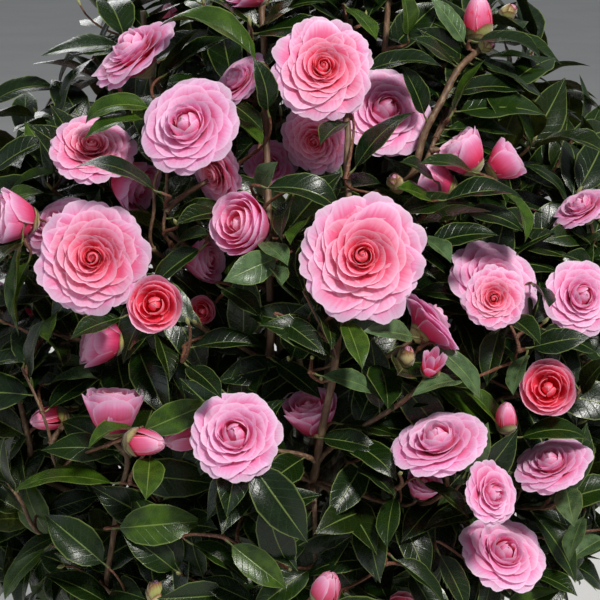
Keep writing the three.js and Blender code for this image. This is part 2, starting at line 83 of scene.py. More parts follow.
# Where along each kind of wood it is tested for flowers in its way.
TESTED = Sizes(
    stem=np.linspace(0.2, 1, 40),
    twig=np.linspace(0.1, 0.9, 7),
    fine_twig=np.linspace(0.3, 1, 6),
    leaf_twig=np.linspace(0.2, 0.9, 6),
)

# The masses of foliage, in tiers. Angles are in degrees round the trunk from +X, and -90 faces the
# viewer. The other pairs are radius and height, and a bough's lowest root and the step between roots.
TIERS = [
    Sizes(
        name="top",
        angles=[-106, -74, -16, 48, 128, 204],
        middle=(165, 680),
        foot=(92, 470),
        head=(150, 800),
        bough_root=(240, 22),
    ),
    Sizes(
        name="side",
        angles=[-90, -47, -4, 42, 90, 136, 182, 227],
        middle=(265, 440),
        foot=(150, 345),
        head=(262, 580),
        bough_root=(125, 13),
    ),
    Sizes(
        name="skirt",
        angles=[-112, -62, 0, 60, 120, 180],
        middle=(200, 195),
        foot=(86, 165),
        head=(205, 250),
        bough_root=(45, 12),
    ),
]
ROOT_STRIDE = 5
LEADER = Sizes(name="leader", tier="top", middle=[-10, 15, 725], head=[-26, 8, 812], bend=120)

# The viewed side: a plane through its centre, square to a sight line that looks down by tilt degrees.
# The crown's surface is searched along a sight line, in shares of its distance.
SIGHT = Sizes(centre=[0, -300, 600], distance=1400, tilt=14, half_frame=232)
SIGHT_SEARCH = Sizes(start=0.8, stop=1.4, step=1)
# What grows by the rule stays out of the picture, by a margin and as far back as this.
KEPT_FREE = Sizes(margin=25, behind=40)
FRAME_WIDTH = 462
SENSOR = 36
# What one of the picture's pixels covers of the viewed plane, and the number of its middle one.
PIXEL = 0.77
MIDDLE_PIXEL = 300

# The flowers of the viewed side: stage, width, place across and up the viewed plane, how far the middle
# lies inside the crown's surface, then the way it faces: degrees turned to the viewer's right and lifted.
VIEWED_FLOWERS = [
    ("full", 86, -129, 191, 25, -64, 52),
    ("full", 87, -86, 135, 12, -22, 32),
    ("open", 74, -160, 117, 40, 10, 50),
    ("open", 86, 18, 177, 8, 5, 14),
    ("full", 80, 65, 145, 72, 10, 25),
    ("open", 62, 12, 123, 74, -20, -10),
    ("full", 56, -47, 170, 62, -55, 42),
    ("open", 64, -65, 98, 72, -50, -10),
    ("cup", 50, -127, 88, 100, 60, -20),
    ("full", 64, -189, 58, 62, -40, 50),
    ("open", 98, -160, 32, 12, -5, 15),
    ("half", 45, -112, -4, -6, 5, 15),
    ("cup", 54, -44, 59, 30, -40, 20),
    ("open", 104, 48, 32, 0, 0, 16),
    ("open", 52, 150, 2, 5, 3, 14),
    ("full", 80, 150, 15, 56, 22, 42),
    ("full", 68, 102, -18, 42, 112, 34),
    ("ragged", 27, 102, -50, 18, 30, 55),
    ("full", 65, 216, 2, 12, 15, 20),
    ("full", 56, 217, 72, 35, -62, 58),
    ("half", 48, 191, -68, 22, -10, 20),
    ("full", 82, 106, -109, 12, -42, 66),
    ("full", 67, 194, -126, 20, -45, 62),
    ("full", 55, 148, -149, -12, 38, 22),
    ("full", 77, 158, -194, 30, 24, 52),
    ("full", 77, -49, -105, 8, -4, 32),
    ("cup", 54, -144, -82, 34, -10, 98),
    ("bud", 27, -118, -110, 14, 62, 5),
    ("bud", 24, -195, -92, 50, -60, 0),
    ("cup", 48, 8, -86, 78, -30, 72),
    ("bud", 28, -90, -105, 56, -60, -10),
    ("bud", 21, 159, -89, 28, -10, 75),
    ("cup", 32, 95, -142, 50, 30, 60),
    ("bud", 28, 21, -221, 8, 25, 60),
    ("bud", 16, -111, -223, 20, 10, 80),
    ("bud", 31, 137, 219, 5, 0, 80),
    ("bud", 14, 161, 222, 20, 50, 40),
    ("bud", 10, 145, 196, 14, 50, 20),
    ("cup", 46, 124, 115, 32, -95, 52),
    ("cup", 38, 159, 107, 25, 100, 32),
    ("cup", 42, 102, 92, 66, -100, 20),
    ("cup", 50, -223, 63, 8, -70, 10),
    ("cup", 50, -156, -30, 62, -80, 10),
    ("cup", 42, -41, 240, 10, -60, 30),
    ("full", 48, -23, 104, 118, 0, 30),
    ("bud", 14, 82, -42, 42, 10, 60),
    ("cup", 40, -73, 31, 88, 60, 10),
    ("half", 26, -75, -8, 90, -20, 10),
    ("bud", 14, 73, 91, 60, -20, 50),
]

# Stems of the viewed side, each from its root to its tip. A place is x and y in the picture's pixels,
# then how far in it lies from the crown's surface. A stem that bears a flower ends at the nearest one's
# back. What grows later leaves it in view, by a share of its root's radius.
VIEWED_STEMS = [
    # Tall stem left of the middle
    Sizes(
        radius=(3.3, 2.6),
        bears=True,
        places=[
            (272, 388, 112),
            (271, 330, 88),
            (269, 250, 82),
            (267, 165, 76),
            (265, 100, 68),
            (264, 40, 52),
            (262, 8, 38),
        ],
    ),
    # Stem behind the main bloom
    Sizes(
        radius=(3.2, 2.5),
        bears=True,
        places=[
            (313, 480, 88),
            (322, 430, 58),
            (334, 370, 52),
            (343, 290, 60),
            (349, 215, 52),
            (347, 165, 46),
            (346, 118, 40),
        ],
    ),
    # Stem under the upper right buds
    Sizes(
        radius=(3.2, 2.6),
        bears=True,
        places=[(410, 178, 84), (425, 132, 60), (442, 100, 44), (458, 70, 32)],
    ),
    # Fork of the upper right stem
    Sizes(
        radius=(2.2, 1.5),
        bears=False,
        places=[(421, 168, 66), (436, 138, 50), (455, 108, 36)],
    ),
    # Stem at the top
    Sizes(
        radius=(2.7, 2.3),
        bears=False,
        places=[(379, 112, 122), (382, 80, 108), (385, 45, 52), (389, -6, 34)],
    ),
    # Stalk of the upper left bloom
    Sizes(
        radius=(1.5, 1.3),
        bears=True,
        places=[(152, 246, 74), (154, 210, 56), (158, 172, 46)],
    ),
    # Second stalk beside it
    Sizes(
        radius=(1.4, 1.2),
        bears=False,
        places=[(165, 236, 70), (166, 205, 58), (167, 168, 50)],
    ),
    # Stem of the lower left cup
    Sizes(
        radius=(2.7, 2.0),
        bears=True,
        places=[(100, 640, 120), (105, 590, 66), (114, 532, 50), (118, 500, 46), (127, 458, 44)],
    ),
    # Thin shoot at the left edge
    Sizes(
        radius=(1.5, 1.1),
        bears=False,
        places=[(60, 470, 60), (48, 430, 30), (38, 402, 24), (22, 368, 18)],
    ),
    # Shoot at the lower left corner
    Sizes(
        radius=(2.0, 1.5),
        bears=False,
        places=[(44, 536, 66), (20, 500, 40), (-2, 468, 26)],
    ),
    # Old stem at the left edge
    Sizes(
        radius=(2.8, 2.3),
        bears=False,
        places=[(38, 475, 96), (29, 440, 76), (19, 398, 66)],
    ),
    # Pale shoot under the main bloom
    Sizes(
        radius=(1.1, 0.8),
        bears=False,
        places=[(336, 360, 52), (320, 325, 30), (303, 291, 24)],
    ),
]
STEM_IN_VIEW = 1.6

# Leaves of the viewed side: where the blade starts and ends in the picture's pixels, how wide it shows
# there, how far in it lies, how strongly it arches, and its tint where that stands out.
# The palest tint is painted sheen: a greyish, lighter green for leaves that catch a glossy light.
DARK, YOUNG, PALE_SHEEN = 2, 5, 6
VIEWED_LEAVES = [
    # Upper left
    (-10, 104, 56, 84, 20, 20, 1.3),
    (-8, 172, 50, 137, 22, 30, 0.6, DARK),
    (5, 195, 62, 169, 10, 45, 0.6),
    (-5, 206, 42, 190, 14, 30, 0.6),
    (149, 108, 83, 117, 20, 26, 1.6, YOUNG),
    (142, 119, 82, 136, 13, 18, 0.8),
    (154, 190, 75, 160, 17, 8, 1.2, DARK),
    (256, 60, 163, 14, 22, 25, 1.5, YOUNG),
    (166, 74, 229, 34, 14, 45, 0.5),
    # Upper middle
    (268, 110, 256, 58, 24, 20, 1.0, DARK),
    (262, 66, 291, 46, 14, 40, 0.5),
    (264, 108, 285, 68, 14, 34, 0.5),
    (232, 121, 263, 143, 10, 44, 0.4, YOUNG),
    (226, 100, 264, 130, 20, 62, 0.4),
    (258, 192, 276, 162, 22, 50, 0.4, PALE_SHEEN),
    (268, 188, 343, 208, 26, 20, 1.6),
    (292, 198, 279, 237, 16, 40, 0.5),
    (355, 168, 412, 108, 22, 28, 0.8, DARK),
    (346, 122, 320, 142, 18, 44, 0.5),
    (368, 70, 442, 61, 18, 28, 0.9),
    (348, 8, 378, 38, 14, 30, 0.5),
    (408, 34, 403, -12, 18, 20, 0.4, YOUNG),
    (424, 114, 402, 64, 22, 50, 0.5, DARK),
    # Upper right
    (464, 42, 431, -4, 20, 24, 0.4, PALE_SHEEN),
    (462, 56, 418, 28, 24, 45, 0.4),
    (453, 64, 412, 36, 12, 30, 0.5),
    (478, 42, 544, 53, 13, 10, 1.4),
    (453, 112, 484, 58, 8, 25, 0.3, YOUNG),
    (473, 172, 421, 160, 12, 14, 0.7),
    (446, 200, 524, 193, 20, 22, 1.0, DARK),
    (434, 203, 398, 186, 12, 40, 0.5, YOUNG),
    (434, 180, 402, 160, 12, 36, 0.5),
    # Left
    (22, 240, 16, 336, 9, 14, 0.3, YOUNG),
    (20, 243, -8, 266, 14, 24, 0.5),
    (28, 262, 8, 314, 18, 36, 0.4),
    (56, 313, 47, 341, 13, 44, 0.3, YOUNG),
    (50, 341, 64, 365, 13, 50, 0.3),
    (120, 318, 70, 337, 20, 28, 0.5),
    (-12, 366, 32, 358, 18, 20, 0.6),
    (38, 366, 90, 364, 12, 45, 0.5, PALE_SHEEN),
    (50, 383, 96, 376, 12, 56, 0.5, PALE_SHEEN),
    (157, 334, 171, 380, 20, 58, 0.4),
    (199, 249, 150, 287, 22, 56, 0.5),
    (206, 304, 164, 266, 24, 96, 0.4, DARK),
    (176, 247, 207, 232, 10, 62, 0.5),
    (219, 212, 176, 223, 18, 58, 0.4),
    # Middle
    (276, 258, 224, 281, 34, 18, 0.3, PALE_SHEEN),
    (262, 242, 288, 264, 20, 30, 0.3, PALE_SHEEN),
    (266, 262, 283, 284, 14, 40, 0.3, PALE_SHEEN),
    (313, 219, 289, 243, 8, 24, 0.4, YOUNG),
    (282, 320, 326, 354, 26, 32, 0.4),
    (318, 310, 334, 347, 16, 40, 0.7),
    (346, 322, 363, 368, 26, 18, 0.3, YOUNG),
    (413, 337, 364, 330, 22, 30, 0.5, PALE_SHEEN),
    (322, 376, 384, 395, 19, 28, 0.8, PALE_SHEEN),
    (194, 347, 266, 344, 20, 50, 0.8),
    (188, 366, 222, 396, 22, 24, 0.5, DARK),
    (264, 371, 256, 391, 12, 82, 0.2),
    (276, 362, 322, 398, 24, 76, 0.4, DARK),
    (222, 288, 263, 317, 20, 60, 0.5),
    (280, 280, 300, 302, 14, 60, 0.3),
    # Right
    (398, 214, 470, 200, 22, 40, 0.6),
    (430, 244, 498, 232, 24, 18, 0.7, DARK),
    (466, 212, 525, 228, 20, 30, 1.0),
    (502, 190, 530, 239, 12, 24, 1.2, YOUNG),
    (420, 236, 452, 261, 14, 12, 0.4, PALE_SHEEN),
    (471, 302, 417, 290, 20, 54, 0.8),
    (508, 316, 541, 343, 20, 30, 0.4),
    (533, 347, 590, 336, 26, 28, 0.6),
    (593, 270, 566, 254, 20, 32, 0.4),
    (440, 350, 483, 397, 22, 30, 0.8, PALE_SHEEN),
    (464, 380, 412, 393, 16, 12, 0.6, PALE_SHEEN),
    (500, 328, 486, 385, 26, 46, 0.4),
    (526, 355, 512, 394, 18, 30, 0.4, PALE_SHEEN),
    (581, 392, 607, 358, 20, 20, 0.4),
    (534, 286, 550, 306, 10, 56, 0.3),
    # Lower left
    (146, 430, 213, 402, 34, 18, 0.5, YOUNG),
    (135, 429, 88, 443, 14, 30, 1.2),
    (112, 483, 12, 484, 18, 20, 0.9, YOUNG),
    (150, 458, 146, 499, 34, 22, 0.3),
    (119, 528, 204, 521, 44, 8, 0.5, YOUNG),
    (103, 563, 45, 514, 42, 10, 0.5),
    (112, 606, 44, 572, 26, 14, 0.5),
    (62, 534, 12, 561, 14, 40, 0.5),
    (46, 512, 102, 494, 26, 80, 0.4, DARK),
    # Lower middle
    (253, 466, 308, 543, 48, 6, 0.6),
    (232, 545, 287, 589, 34, 10, 0.6),
    (192, 544, 251, 583, 20, 20, 0.5),
    (373, 561, 306, 572, 28, 14, 1.6, DARK),
    (358, 467, 396, 495, 16, 46, 0.5, DARK),
    (322, 438, 380, 449, 24, 56, 0.5),
    (342, 424, 402, 436, 14, 46, 0.5),
    (302, 470, 346, 438, 24, 100, 0.4, DARK),
    (394, 498, 386, 547, 24, 26, 0.4),
    (252, 602, 198, 578, 26, 30, 0.4, DARK),
    # Lower right
    (466, 472, 488, 423, 30, 28, 0.3, PALE_SHEEN),
    (424, 483, 470, 516, 15, 34, 0.6),
    (476, 512, 424, 527, 22, 42, 0.5),
    (522, 437, 593, 436, 22, 44, 1.5),
    (566, 488, 574, 526, 30, 22, 0.3, PALE_SHEEN),
    (583, 517, 568, 561, 20, 18, 0.4, PALE_SHEEN),
    (604, 538, 566, 563, 22, 26, 0.5, PALE_SHEEN),
    (533, 573, 578, 594, 18, 40, 0.6),
    (572, 528, 506, 504, 26, 84, 0.4, DARK),
    (487, 575, 511, 593, 12, 50, 0.4, PALE_SHEEN),
    (505, 612, 560, 590, 26, 34, 0.4, YOUNG),
    (396, 560, 447, 604, 17, 20, 0.5),
    (440, 555, 468, 610, 24, 42, 0.4),
]
LEAVES_FROM_BELOW = [(418, 224, 491, 208, 12, 16, 0.5)]
VIEWED_LEAF = Sizes(
    shortest=48,
    slimness=0.47,
    narrowest=19,
    arch_length=0.05,
    fold=(0.2, 0.5),
    twist=(-0.2, 0.2),
    clear=1.0,
    spacing=3.0,
    tries=12,
    in_view=0.36,
    seed=500.5,
)
# A leaf that touches a flower or another leaf moves in or out by these.
DEPTH_STEPS = [0, 7, -7, 14, -14, 22, -22, 30, -30, 40, 52]

# The rest of the crown is filled evenly: shoots that end on shells of the crown's own shape.
OUTER_SHELL = Sizes(count=132, inset=50, seed=11)
INNER_SHELL = Sizes(count=8, inset=140, seed=57)
SHELL_FOOT = -0.86
LIFT = Sizes(least=0.35, spread=0.5, inner=0.6, fine=(0.1, 0.9))
FLOWERING = Sizes(share=0.68, lowest=-0.72)
FLOWER_WIDTHS = [("open", 86), ("open", 78), ("open", 70), ("half", 50), ("bud", 26)]
# Flowers at the tips of leafy shoots of the outer crown, where the others leave room. Each shoot tries
# this list from its own place on.
LATE = Sizes(outer=0.7, margin=2, behind=40)
LATE_FLOWERS = [("full", 78), ("full", 68), ("open", 60), ("cup", 48), ("half", 42), ("bud", 26), ("bud", 22)]
SPACING = Sizes(between_flowers=8, beside_flower=14)
SEEDS = Sizes(lift=0.3, stage=0.6)

# The finer shoots between them.
FINE_SHELLS = [
    Sizes(count=190, inset=24, seed=211),
    Sizes(count=160, inset=78, seed=431),
    Sizes(count=90, inset=140, seed=653),
]
FINE = Sizes(jitter=24, longest=150, tries=6, clear=4)

# Each stage of flower, in its widths: how far it reaches back and to the front, the radius that stays in
# view, how much higher the innermost petals start, its first and last tones, and how wide its back is.
STAGES = {
    "open": Sizes(back=-0.32, front=0.14, showing=0.46, raised=0.24, tones=(0, 9), base=0.3),
    "full": Sizes(back=-0.32, front=0.19, showing=0.46, raised=0.14, tones=(0, 2), base=0.3),
    "half": Sizes(back=-0.5, front=0.28, showing=0.46, raised=0.28, tones=(3, 9), base=0.4),
    "cup": Sizes(back=-0.5, front=0.3, showing=0.46, raised=0.25, tones=(0, 5), base=0.4),
    "ragged": Sizes(back=-0.5, front=0.5, showing=0.46, raised=0, tones=(0, 2), base=0.4),
    "bud": Sizes(back=-0.75, front=0.66, showing=0.4, raised=0, tones=(2, 5), base=0.42),
}

# The turns of petals of each stage, from the outermost in: how many petals, the radius and height of their
# tips, the angles from level at which they leave the heart and end, how far neighbours overlap, how hollow
# they are across, and how round their ends are. Lengths are in widths of the flower. The petals lie on one
# spiral, so each one's numbers run on from its own row towards the next.
WHORLS = {
    "open": [
        (8, 0.465, -0.080, 40, -38, 1.05, -0.06, 0.30),
        (10, 0.515, -0.032, 50, -24, 1.15, -0.03, 0.28),
        (9, 0.470, 0.000, 56, -14, 1.25, 0.00, 0.26),
        (7, 0.385, 0.030, 62, -2, 1.35, 0.03, 0.26),
        (6, 0.315, 0.058, 68, 14, 1.45, 0.06, 0.25),
        (5, 0.240, 0.082, 74, 32, 1.50, 0.09, 0.24),
        (4, 0.170, 0.100, 80, 54, 1.55, 0.10, 0.20),
        (4, 0.108, 0.110, 82, 76, 1.55, 0.10, 0.18),
        (3, 0.060, 0.112, 78, 104, 1.60, 0.08, 0.16),
        (2, 0.004, 0.108, 66, 136, 1.60, 0.02, 0.12),
    ],
    "full": [
        (7, 0.465, -0.080, 40, -38, 1.10, -0.06, 0.28),
        (8, 0.515, -0.032, 50, -24, 1.15, -0.03, 0.26),
        (7, 0.465, 0.002, 56, -12, 1.25, 0.00, 0.26),
        (6, 0.375, 0.038, 62, 4, 1.35, 0.04, 0.26),
        (5, 0.300, 0.074, 68, 24, 1.45, 0.07, 0.25),
        (5, 0.225, 0.104, 72, 48, 1.50, 0.10, 0.24),
        (5, 0.160, 0.150, 48, 94, 1.55, 0.10, 0.22),
        (4, 0.094, 0.176, 36, 122, 1.60, 0.08, 0.22),
        (3, 0.004, 0.178, 26, 150, 1.60, 0.02, 0.14),
    ],
    "half": [
        (4, 0.460, 0.070, 30, 42, 1.25, 0.02, 0.24),
        (4, 0.510, 0.150, 40, 58, 1.30, 0.05, 0.22),
        (4, 0.430, 0.215, 52, 74, 1.40, 0.08, 0.20),
        (3, 0.340, 0.228, 60, 88, 1.45, 0.09, 0.20),
        (3, 0.190, 0.175, 56, 106, 1.50, 0.10, 0.20),
        (3, 0.004, 0.185, 40, 156, 1.60, 0.02, 0.12),
    ],
    "cup": [
        (5, 0.430, 0.090, 16, 62, 1.20, 0.02, 0.24),
        (6, 0.500, 0.200, 22, 72, 1.25, 0.04, 0.24),
        (5, 0.420, 0.250, 40, 78, 1.40, 0.07, 0.20),
        (4, 0.300, 0.250, 58, 90, 1.50, 0.08, 0.16),
        (3, 0.160, 0.235, 68, 112, 1.60, 0.06, 0.12),
        (3, 0.004, 0.215, 60, 160, 1.60, 0.02, 0.08),
    ],
    "ragged": [
        (4, 0.480, 0.180, 24, 50, 0.62, 0.06, 0.55),
        (3, 0.360, 0.420, 50, 80, 0.60, 0.06, 0.55),
        (3, 0.160, 0.560, 70, 96, 0.90, 0.06, 0.50),
    ],
    "bud": [
        (3, 0.170, 0.520, 4, 132, 1.60, 0.00, 0.24),
        (3, 0.120, 0.570, 8, 130, 1.60, 0.00, 0.24),
        (3, 0.060, 0.600, 12, 128, 1.60, 0.00, 0.20),
        (2, 0.004, 0.610, 16, 150, 1.60, 0.00, 0.16),
    ],
}
# The scales round the back of each flower: how many, the share of the outermost petals that they cover,
# and how far neighbours overlap.
SCALES = {
    "open": [(5, 0.30, 1.25), (4, 0.20, 1.20)],
    "full": [(5, 0.30, 1.25), (4, 0.20, 1.20)],
    "half": [(5, 0.34, 1.25), (5, 0.22, 1.20)],
    "cup": [(5, 0.36, 1.25), (5, 0.24, 1.20)],
    "ragged": [(5, 0.52, 1.25), (5, 0.34, 1.20)],
    "bud": [(4, 0.52, 1.35), (4, 0.40, 1.30), (4, 0.24, 1.20)],
    "scaly bud": [(3, 0.99, 1.60), (3, 0.90, 1.50), (4, 0.62, 1.40), (4, 0.34, 1.30)],
}
SCALY_WIDTH = 18
# The room behind a flower widens like a bowl, from this share of its width.
BOWL = Sizes(depth=0.3, narrowest=0.12)
FLOWER_SEED = Sizes(step=3.1, start=0.7)
# Any way round, in radians.
ANY_WAY = (0, 6.28)

# The form of a petal or scale, in its own length and width.
FORM = Sizes(
    handles=0.4,
    foot_width=0.28,
    widest=0.72,
    fullness=1.1,
    end_power=2.4,
    notch_width=0.22,
    ripples=4.2,
    level=0.2,
)
# How petals start at the heart and how they stray from a plain bowl, in widths of the flower. The inner
# ones are calmer.
PETAL = Sizes(
    root=0.035,
    root_share=0.6,
    foot=0.03,
    narrowest=0.05,
    tightest=0.045,
    lean=0.014,
    ripple=0.010,
    notch=0.015,
    whorl_seed=1.7,
    calming=0.5,
    seed=0.37,
)
# How much one petal differs from the next, and how wild one whole flower is.
PETAL_VARY = Sizes(
    wild=(0.55, 1.5),
    drift=(0, 0.05),
    tip=(-0.05, 0.03),
    turn=(-0.08, 0.08),
    top=(-0.022, 0.014),
    arrive=(-14, 14),
    width=(-0.12, 0.08),
    hollow=(-0.05, 0.05),
    notch=(0, 0.045),
)
# The same of scales. Each row stands further out than the row before.
SCALE = Sizes(
    cover=(0.9, 1.1),
    fullest=0.995,
    foot_width=0.25,
    spread=1.6,
    turn=(-0.08, 0.08),
    lean=0.25,
    roundness=0.34,
    tightest=0.05,
    lift=0.5,
    first_lift=1.4,
    tones=3,
    row_seed=2.3,
    seed=0.41,
)
# Rows and columns of points on a petal of the viewed flowers, of the others, and on a scale.
VIEWED_GRID, GRID, SCALE_GRID = (7, 11), (6, 7), (6, 7)

# The meshes of the wood: rows along it and sides round it. A collar is how much thicker a limb starts and
# how soon that ends, and nodes are the knots along it.
TRUNK_MESH = Sizes(rows=150, sides=56, closer=1.15, relief=0.9, waist=2.4, waist_height=30)
BOUGH_MESH = Sizes(rows=46, sides=16, relief=0.45, collar=3.2, collar_length=9)
VIEWED_STEM_MESH = Sizes(rows=60, sides=10)
STEM_MESH = Sizes(rows=24, sides=9, node=0.07, node_waves=70)
TWIG_MESH = Sizes(rows=12, sides=6, node=0.10, node_waves=31, collar=0.9, collar_length=5)
NODE_SHARPNESS = 8
# A leaf bud at a twig's tip, as places along it and its radius there, and the stalk of a leaf.
TIP_BUD = Sizes(along=[-1.0, 1.5, 4.0, 6.5, 8.5], girth=[0.9, 1.5, 1.7, 1.1, 0.15], sides=6)
STALK = Sizes(girth=[1.0, 0.75, 0.6], sides=4, sag=0.5, into_leaf=1.5)
# The bark's relief: how close its furrows and its knots are, and how high the knots are to the furrows.
BARK = Sizes(
    furrow=np.array([0.24, 0.24, 0.045]),
    knot=np.array([0.06, 0.06, 0.05]),
    knot_shift=np.array([0, 0, 7]),
    knot_share=0.9,
)

# How leaves are made, spaced and set on their twigs.
LEAF = Sizes(
    length=67,
    width=31,
    vary=0.16,
    breadth=(0.88, 1.12),
    petiole=6,
    stations=11,
    thickness=0.7,
    spacing=6.0,
    clear=1.5,
    arch=(0.25, 1.15),
    fold=(0.12, 0.5),
    twist=(-0.35, 0.35),
    lean=(42, 70),
    droop=(0.0, 0.3),
)
# A leaf turns its face up and out of the crown, and a little by chance.
LIGHT = Sizes(up=0.75, out=0.75, chance=0.35, flatten=np.array([1, 1, 1.3]))
# Where a leaf is tested for room, in its lengths and widths.
LEAF_TEST = Sizes(along=np.array([0.25, 0.5, 0.75, 0.97]), widest=0.45, aside=np.array([-0.4, 0.4]))
# The leaves along a twig, from its tip back: how much of it stays bare, how far back they reach and how far
# apart they are. The first ones of a leafy twig stand closer, and a leaf with no room is turned round it.
SPRAY = Sizes(
    bare=1,
    bare_behind_flower=7,
    share=0.85,
    longest=105,
    step=10.0,
    step_behind_flower=11.5,
    crowded=3,
    closer=0.55,
    nearest_root=0.08,
    turns=(0, 0.6, -0.6, 1.3, -1.3, 2.2, -2.2),
    seed=17,
)
# Most leaves have the first of the tints. The later they come, the rarer they are.
TINTS = Sizes(last=YOUNG + 0.3, last_viewed=PALE_SHEEN, rarity=1.5)


def unit(v):
    return v / np.linalg.norm(v, axis=-1, keepdims=True)


def chance(seed):
    """A number from 0 to 1 that looks random and depends only on its seed. A fraction that is added to a seed
    gives another draw."""
    wave = math.sin(seed * 127.1) * 43758.5453
    return wave - math.floor(wave)


def between(seed, low, high):
    return low + (high - low) * chance(seed)


def polar(degrees, radius, height):
    angle = math.radians(degrees)
    return np.array([radius * math.cos(angle), radius * math.sin(angle), height])


# Curves


class Curve:
    """A cubic curve from start to end, drawn towards two points on its way."""

    def __init__(self, *points):
        self.points = np.array(points, float)

    def at(self, t):
        t = np.asarray(t, float)[..., None]
        a, b, c, d = self.points
        return (1 - t) ** 3 * a + 3 * (1 - t) ** 2 * t * b + 3 * (1 - t) * t**2 * c + t**3 * d

    def heading(self, t):
        t = np.asarray(t, float)[..., None]
        a, b, c = self.points[1:] - self.points[:-1]
        return unit((1 - t) ** 2 * a + 2 * (1 - t) * t * b + t**2 * c)

    def length(self):
        places = self.at(np.linspace(0, 1, 9))
        return float(np.linalg.norm(np.diff(places, axis=0), axis=1).sum())


class Path:
    """A smooth line through points, whose speed follows the root of their distances."""

    def __init__(self, points):
        points = np.array(points, float)
        first, last = 2 * points[0] - points[1], 2 * points[-1] - points[-2]
        points = np.vstack([first, points, last])
        gaps = np.sqrt(np.linalg.norm(np.diff(points, axis=0), axis=1))
        self.spans = []
        for k in range(len(points) - 3):
            before, start, end, after = points[k : k + 4]
            d0, d1, d2 = gaps[k : k + 3]
            leaving = (start - before) / d0 - (end - before) / (d0 + d1) + (end - start) / d1
            arriving = (end - start) / d1 - (after - start) / (d1 + d2) + (after - end) / d2
            self.spans.append(Curve(start, start + leaving * d1 / 3, end - arriving * d1 / 3, end))

    def at(self, t):
        return self.read(t, lambda span, place: span.at(place))

    def heading(self, t):
        return self.read(t, lambda span, place: span.heading(place))

    def read(self, t, what):
        places = np.atleast_1d(t) * len(self.spans)
        numbers = np.minimum(places.astype(int), len(self.spans) - 1)
        found = np.array([what(self.spans[k], place - k) for k, place in zip(numbers, places)])
        return found if np.ndim(t) else found[0]

    def length(self):
        return sum(span.length() for span in self.spans)


trunk_line = Path(TRUNK.line)


# The crown

tilt = math.radians(SIGHT.tilt)
sight = Sizes(
    centre=np.array(SIGHT.centre, float),
    right=np.array([1.0, 0.0, 0.0]),
    up=np.array([0.0, math.sin(tilt), math.cos(tilt)]),
    forward=np.array([0.0, math.cos(tilt), -math.sin(tilt)]),
)
eye = sight.centre - SIGHT.distance * sight.forward


def shell_radii(inset):
    """The half sizes of a shell of the crown that is inset from its surface."""
    level, upright = CROWN.radius - inset, CROWN.half_height - inset
    return np.array([level, level, upright])


def shell_share(points):
    """How far points lie from the crown's middle, where 1 is on its surface."""
    return np.linalg.norm((np.asarray(points, float) - CROWN.middle) / shell_radii(0), axis=-1)


def viewed_point(across, up, inset):
    """Where the sight line through a place on the viewed plane enters the crown, and goes on by inset."""
    ray = unit(sight.centre + across * sight.right + up * sight.up - eye)
    first, last = SIGHT_SEARCH.start * SIGHT.distance, SIGHT_SEARCH.stop * SIGHT.distance
    distances = np.arange(first, last, SIGHT_SEARCH.step)
    shares = shell_share(eye + distances[:, None] * ray)
    inside = np.flatnonzero(shares <= 1)
    nearest = inside[0] if len(inside) else shares.argmin()
    return eye + (distances[nearest] + inset) * ray


def seen_at(points):
    """Where points show on the viewed plane: across, up and depth."""
    offset = np.asarray(points, float) - eye
    depth = offset @ sight.forward
    scale = SIGHT.distance / depth
    return offset @ sight.right * scale, offset @ sight.up * scale, depth


def on_plane(x, y):
    """A place of the picture as a place across and up the viewed plane."""
    return (x - MIDDLE_PIXEL) * PIXEL, (MIDDLE_PIXEL - y) * PIXEL


def picture_point(x, y, inset):
    """A place of the picture, inside the crown's surface by inset."""
    return viewed_point(*on_plane(x, y), inset)


def picture_point_at(x, y, depth):
    """A place of the picture, at a depth from the viewer."""
    across, up = on_plane(x, y)
    return eye + depth * (sight.forward + (across * sight.right + up * sight.up) / SIGHT.distance)


def facing_of(turn, lift):
    turn, lift = math.radians(turn), math.radians(lift)
    level = math.cos(lift)
    return np.array([math.sin(turn) * level, -math.cos(turn) * level, math.sin(lift)])


def flower_of(stage, width, middle, facing, viewed=False):
    back = middle + STAGES[stage].back * width * facing
    return Sizes(stage=stage, width=width, middle=middle, facing=facing, back=back, viewed=viewed)


def in_viewed_frame(point, limits=KEPT_FREE):
    across, up, _ = seen_at(point)
    edge = SIGHT.half_frame + limits.margin
    return point[1] < limits.behind and abs(across) < edge and abs(up) < edge


def shell_places(shell):
    """Even places on a shell of the crown, with the way out of the crown and a seed at each."""
    for i in range(shell.count):
        height = 1 - 2 * (i + 0.5) / shell.count
        angle = i * GOLDEN_ANGLE + shell.seed
        radius = math.sqrt(1 - height * height)
        out = np.array([radius * math.cos(angle), radius * math.sin(angle), height])
        point = out * shell_radii(shell.inset) + CROWN.middle
        if height > SHELL_FOOT:
            yield point, out, shell.seed + i


def room_between(point, width, flowers):
    return min(np.linalg.norm(f.middle - point) - (f.width + width) / 2 for f in flowers)


def plan_shoots():
    """Every main shoot of the crown: a flower or a spray of leaves at its tip."""
    shoots = []
    for stage, width, across, up, inset, turn, lift in VIEWED_FLOWERS:
        middle, facing = viewed_point(across, up, inset), facing_of(turn, lift)
        shoots.append(Sizes(flower=flower_of(stage, width, middle, facing, True)))
    for point, out, seed in shell_places(OUTER_SHELL):
        flowers = [s.flower for s in shoots if s.flower]
        facing = unit(out + (LIFT.least + LIFT.spread * chance(seed + SEEDS.lift)) * UP)
        stage, width = FLOWER_WIDTHS[int(len(FLOWER_WIDTHS) * chance(seed + SEEDS.stage))]
        if (
            not in_viewed_frame(point)
            and chance(seed) < FLOWERING.share
            and out[2] > FLOWERING.lowest
            and room_between(point, width, flowers) > SPACING.between_flowers
        ):
            shoots.append(Sizes(flower=flower_of(stage, width, point, facing)))
        elif room_between(point, 0, flowers) > SPACING.beside_flower:
            shoots.append(Sizes(flower=None, tip=point, facing=facing))
    for point, out, seed in shell_places(INNER_SHELL):
        shoots.append(Sizes(flower=None, tip=point, facing=unit(out + LIFT.inner * UP)))
    return shoots


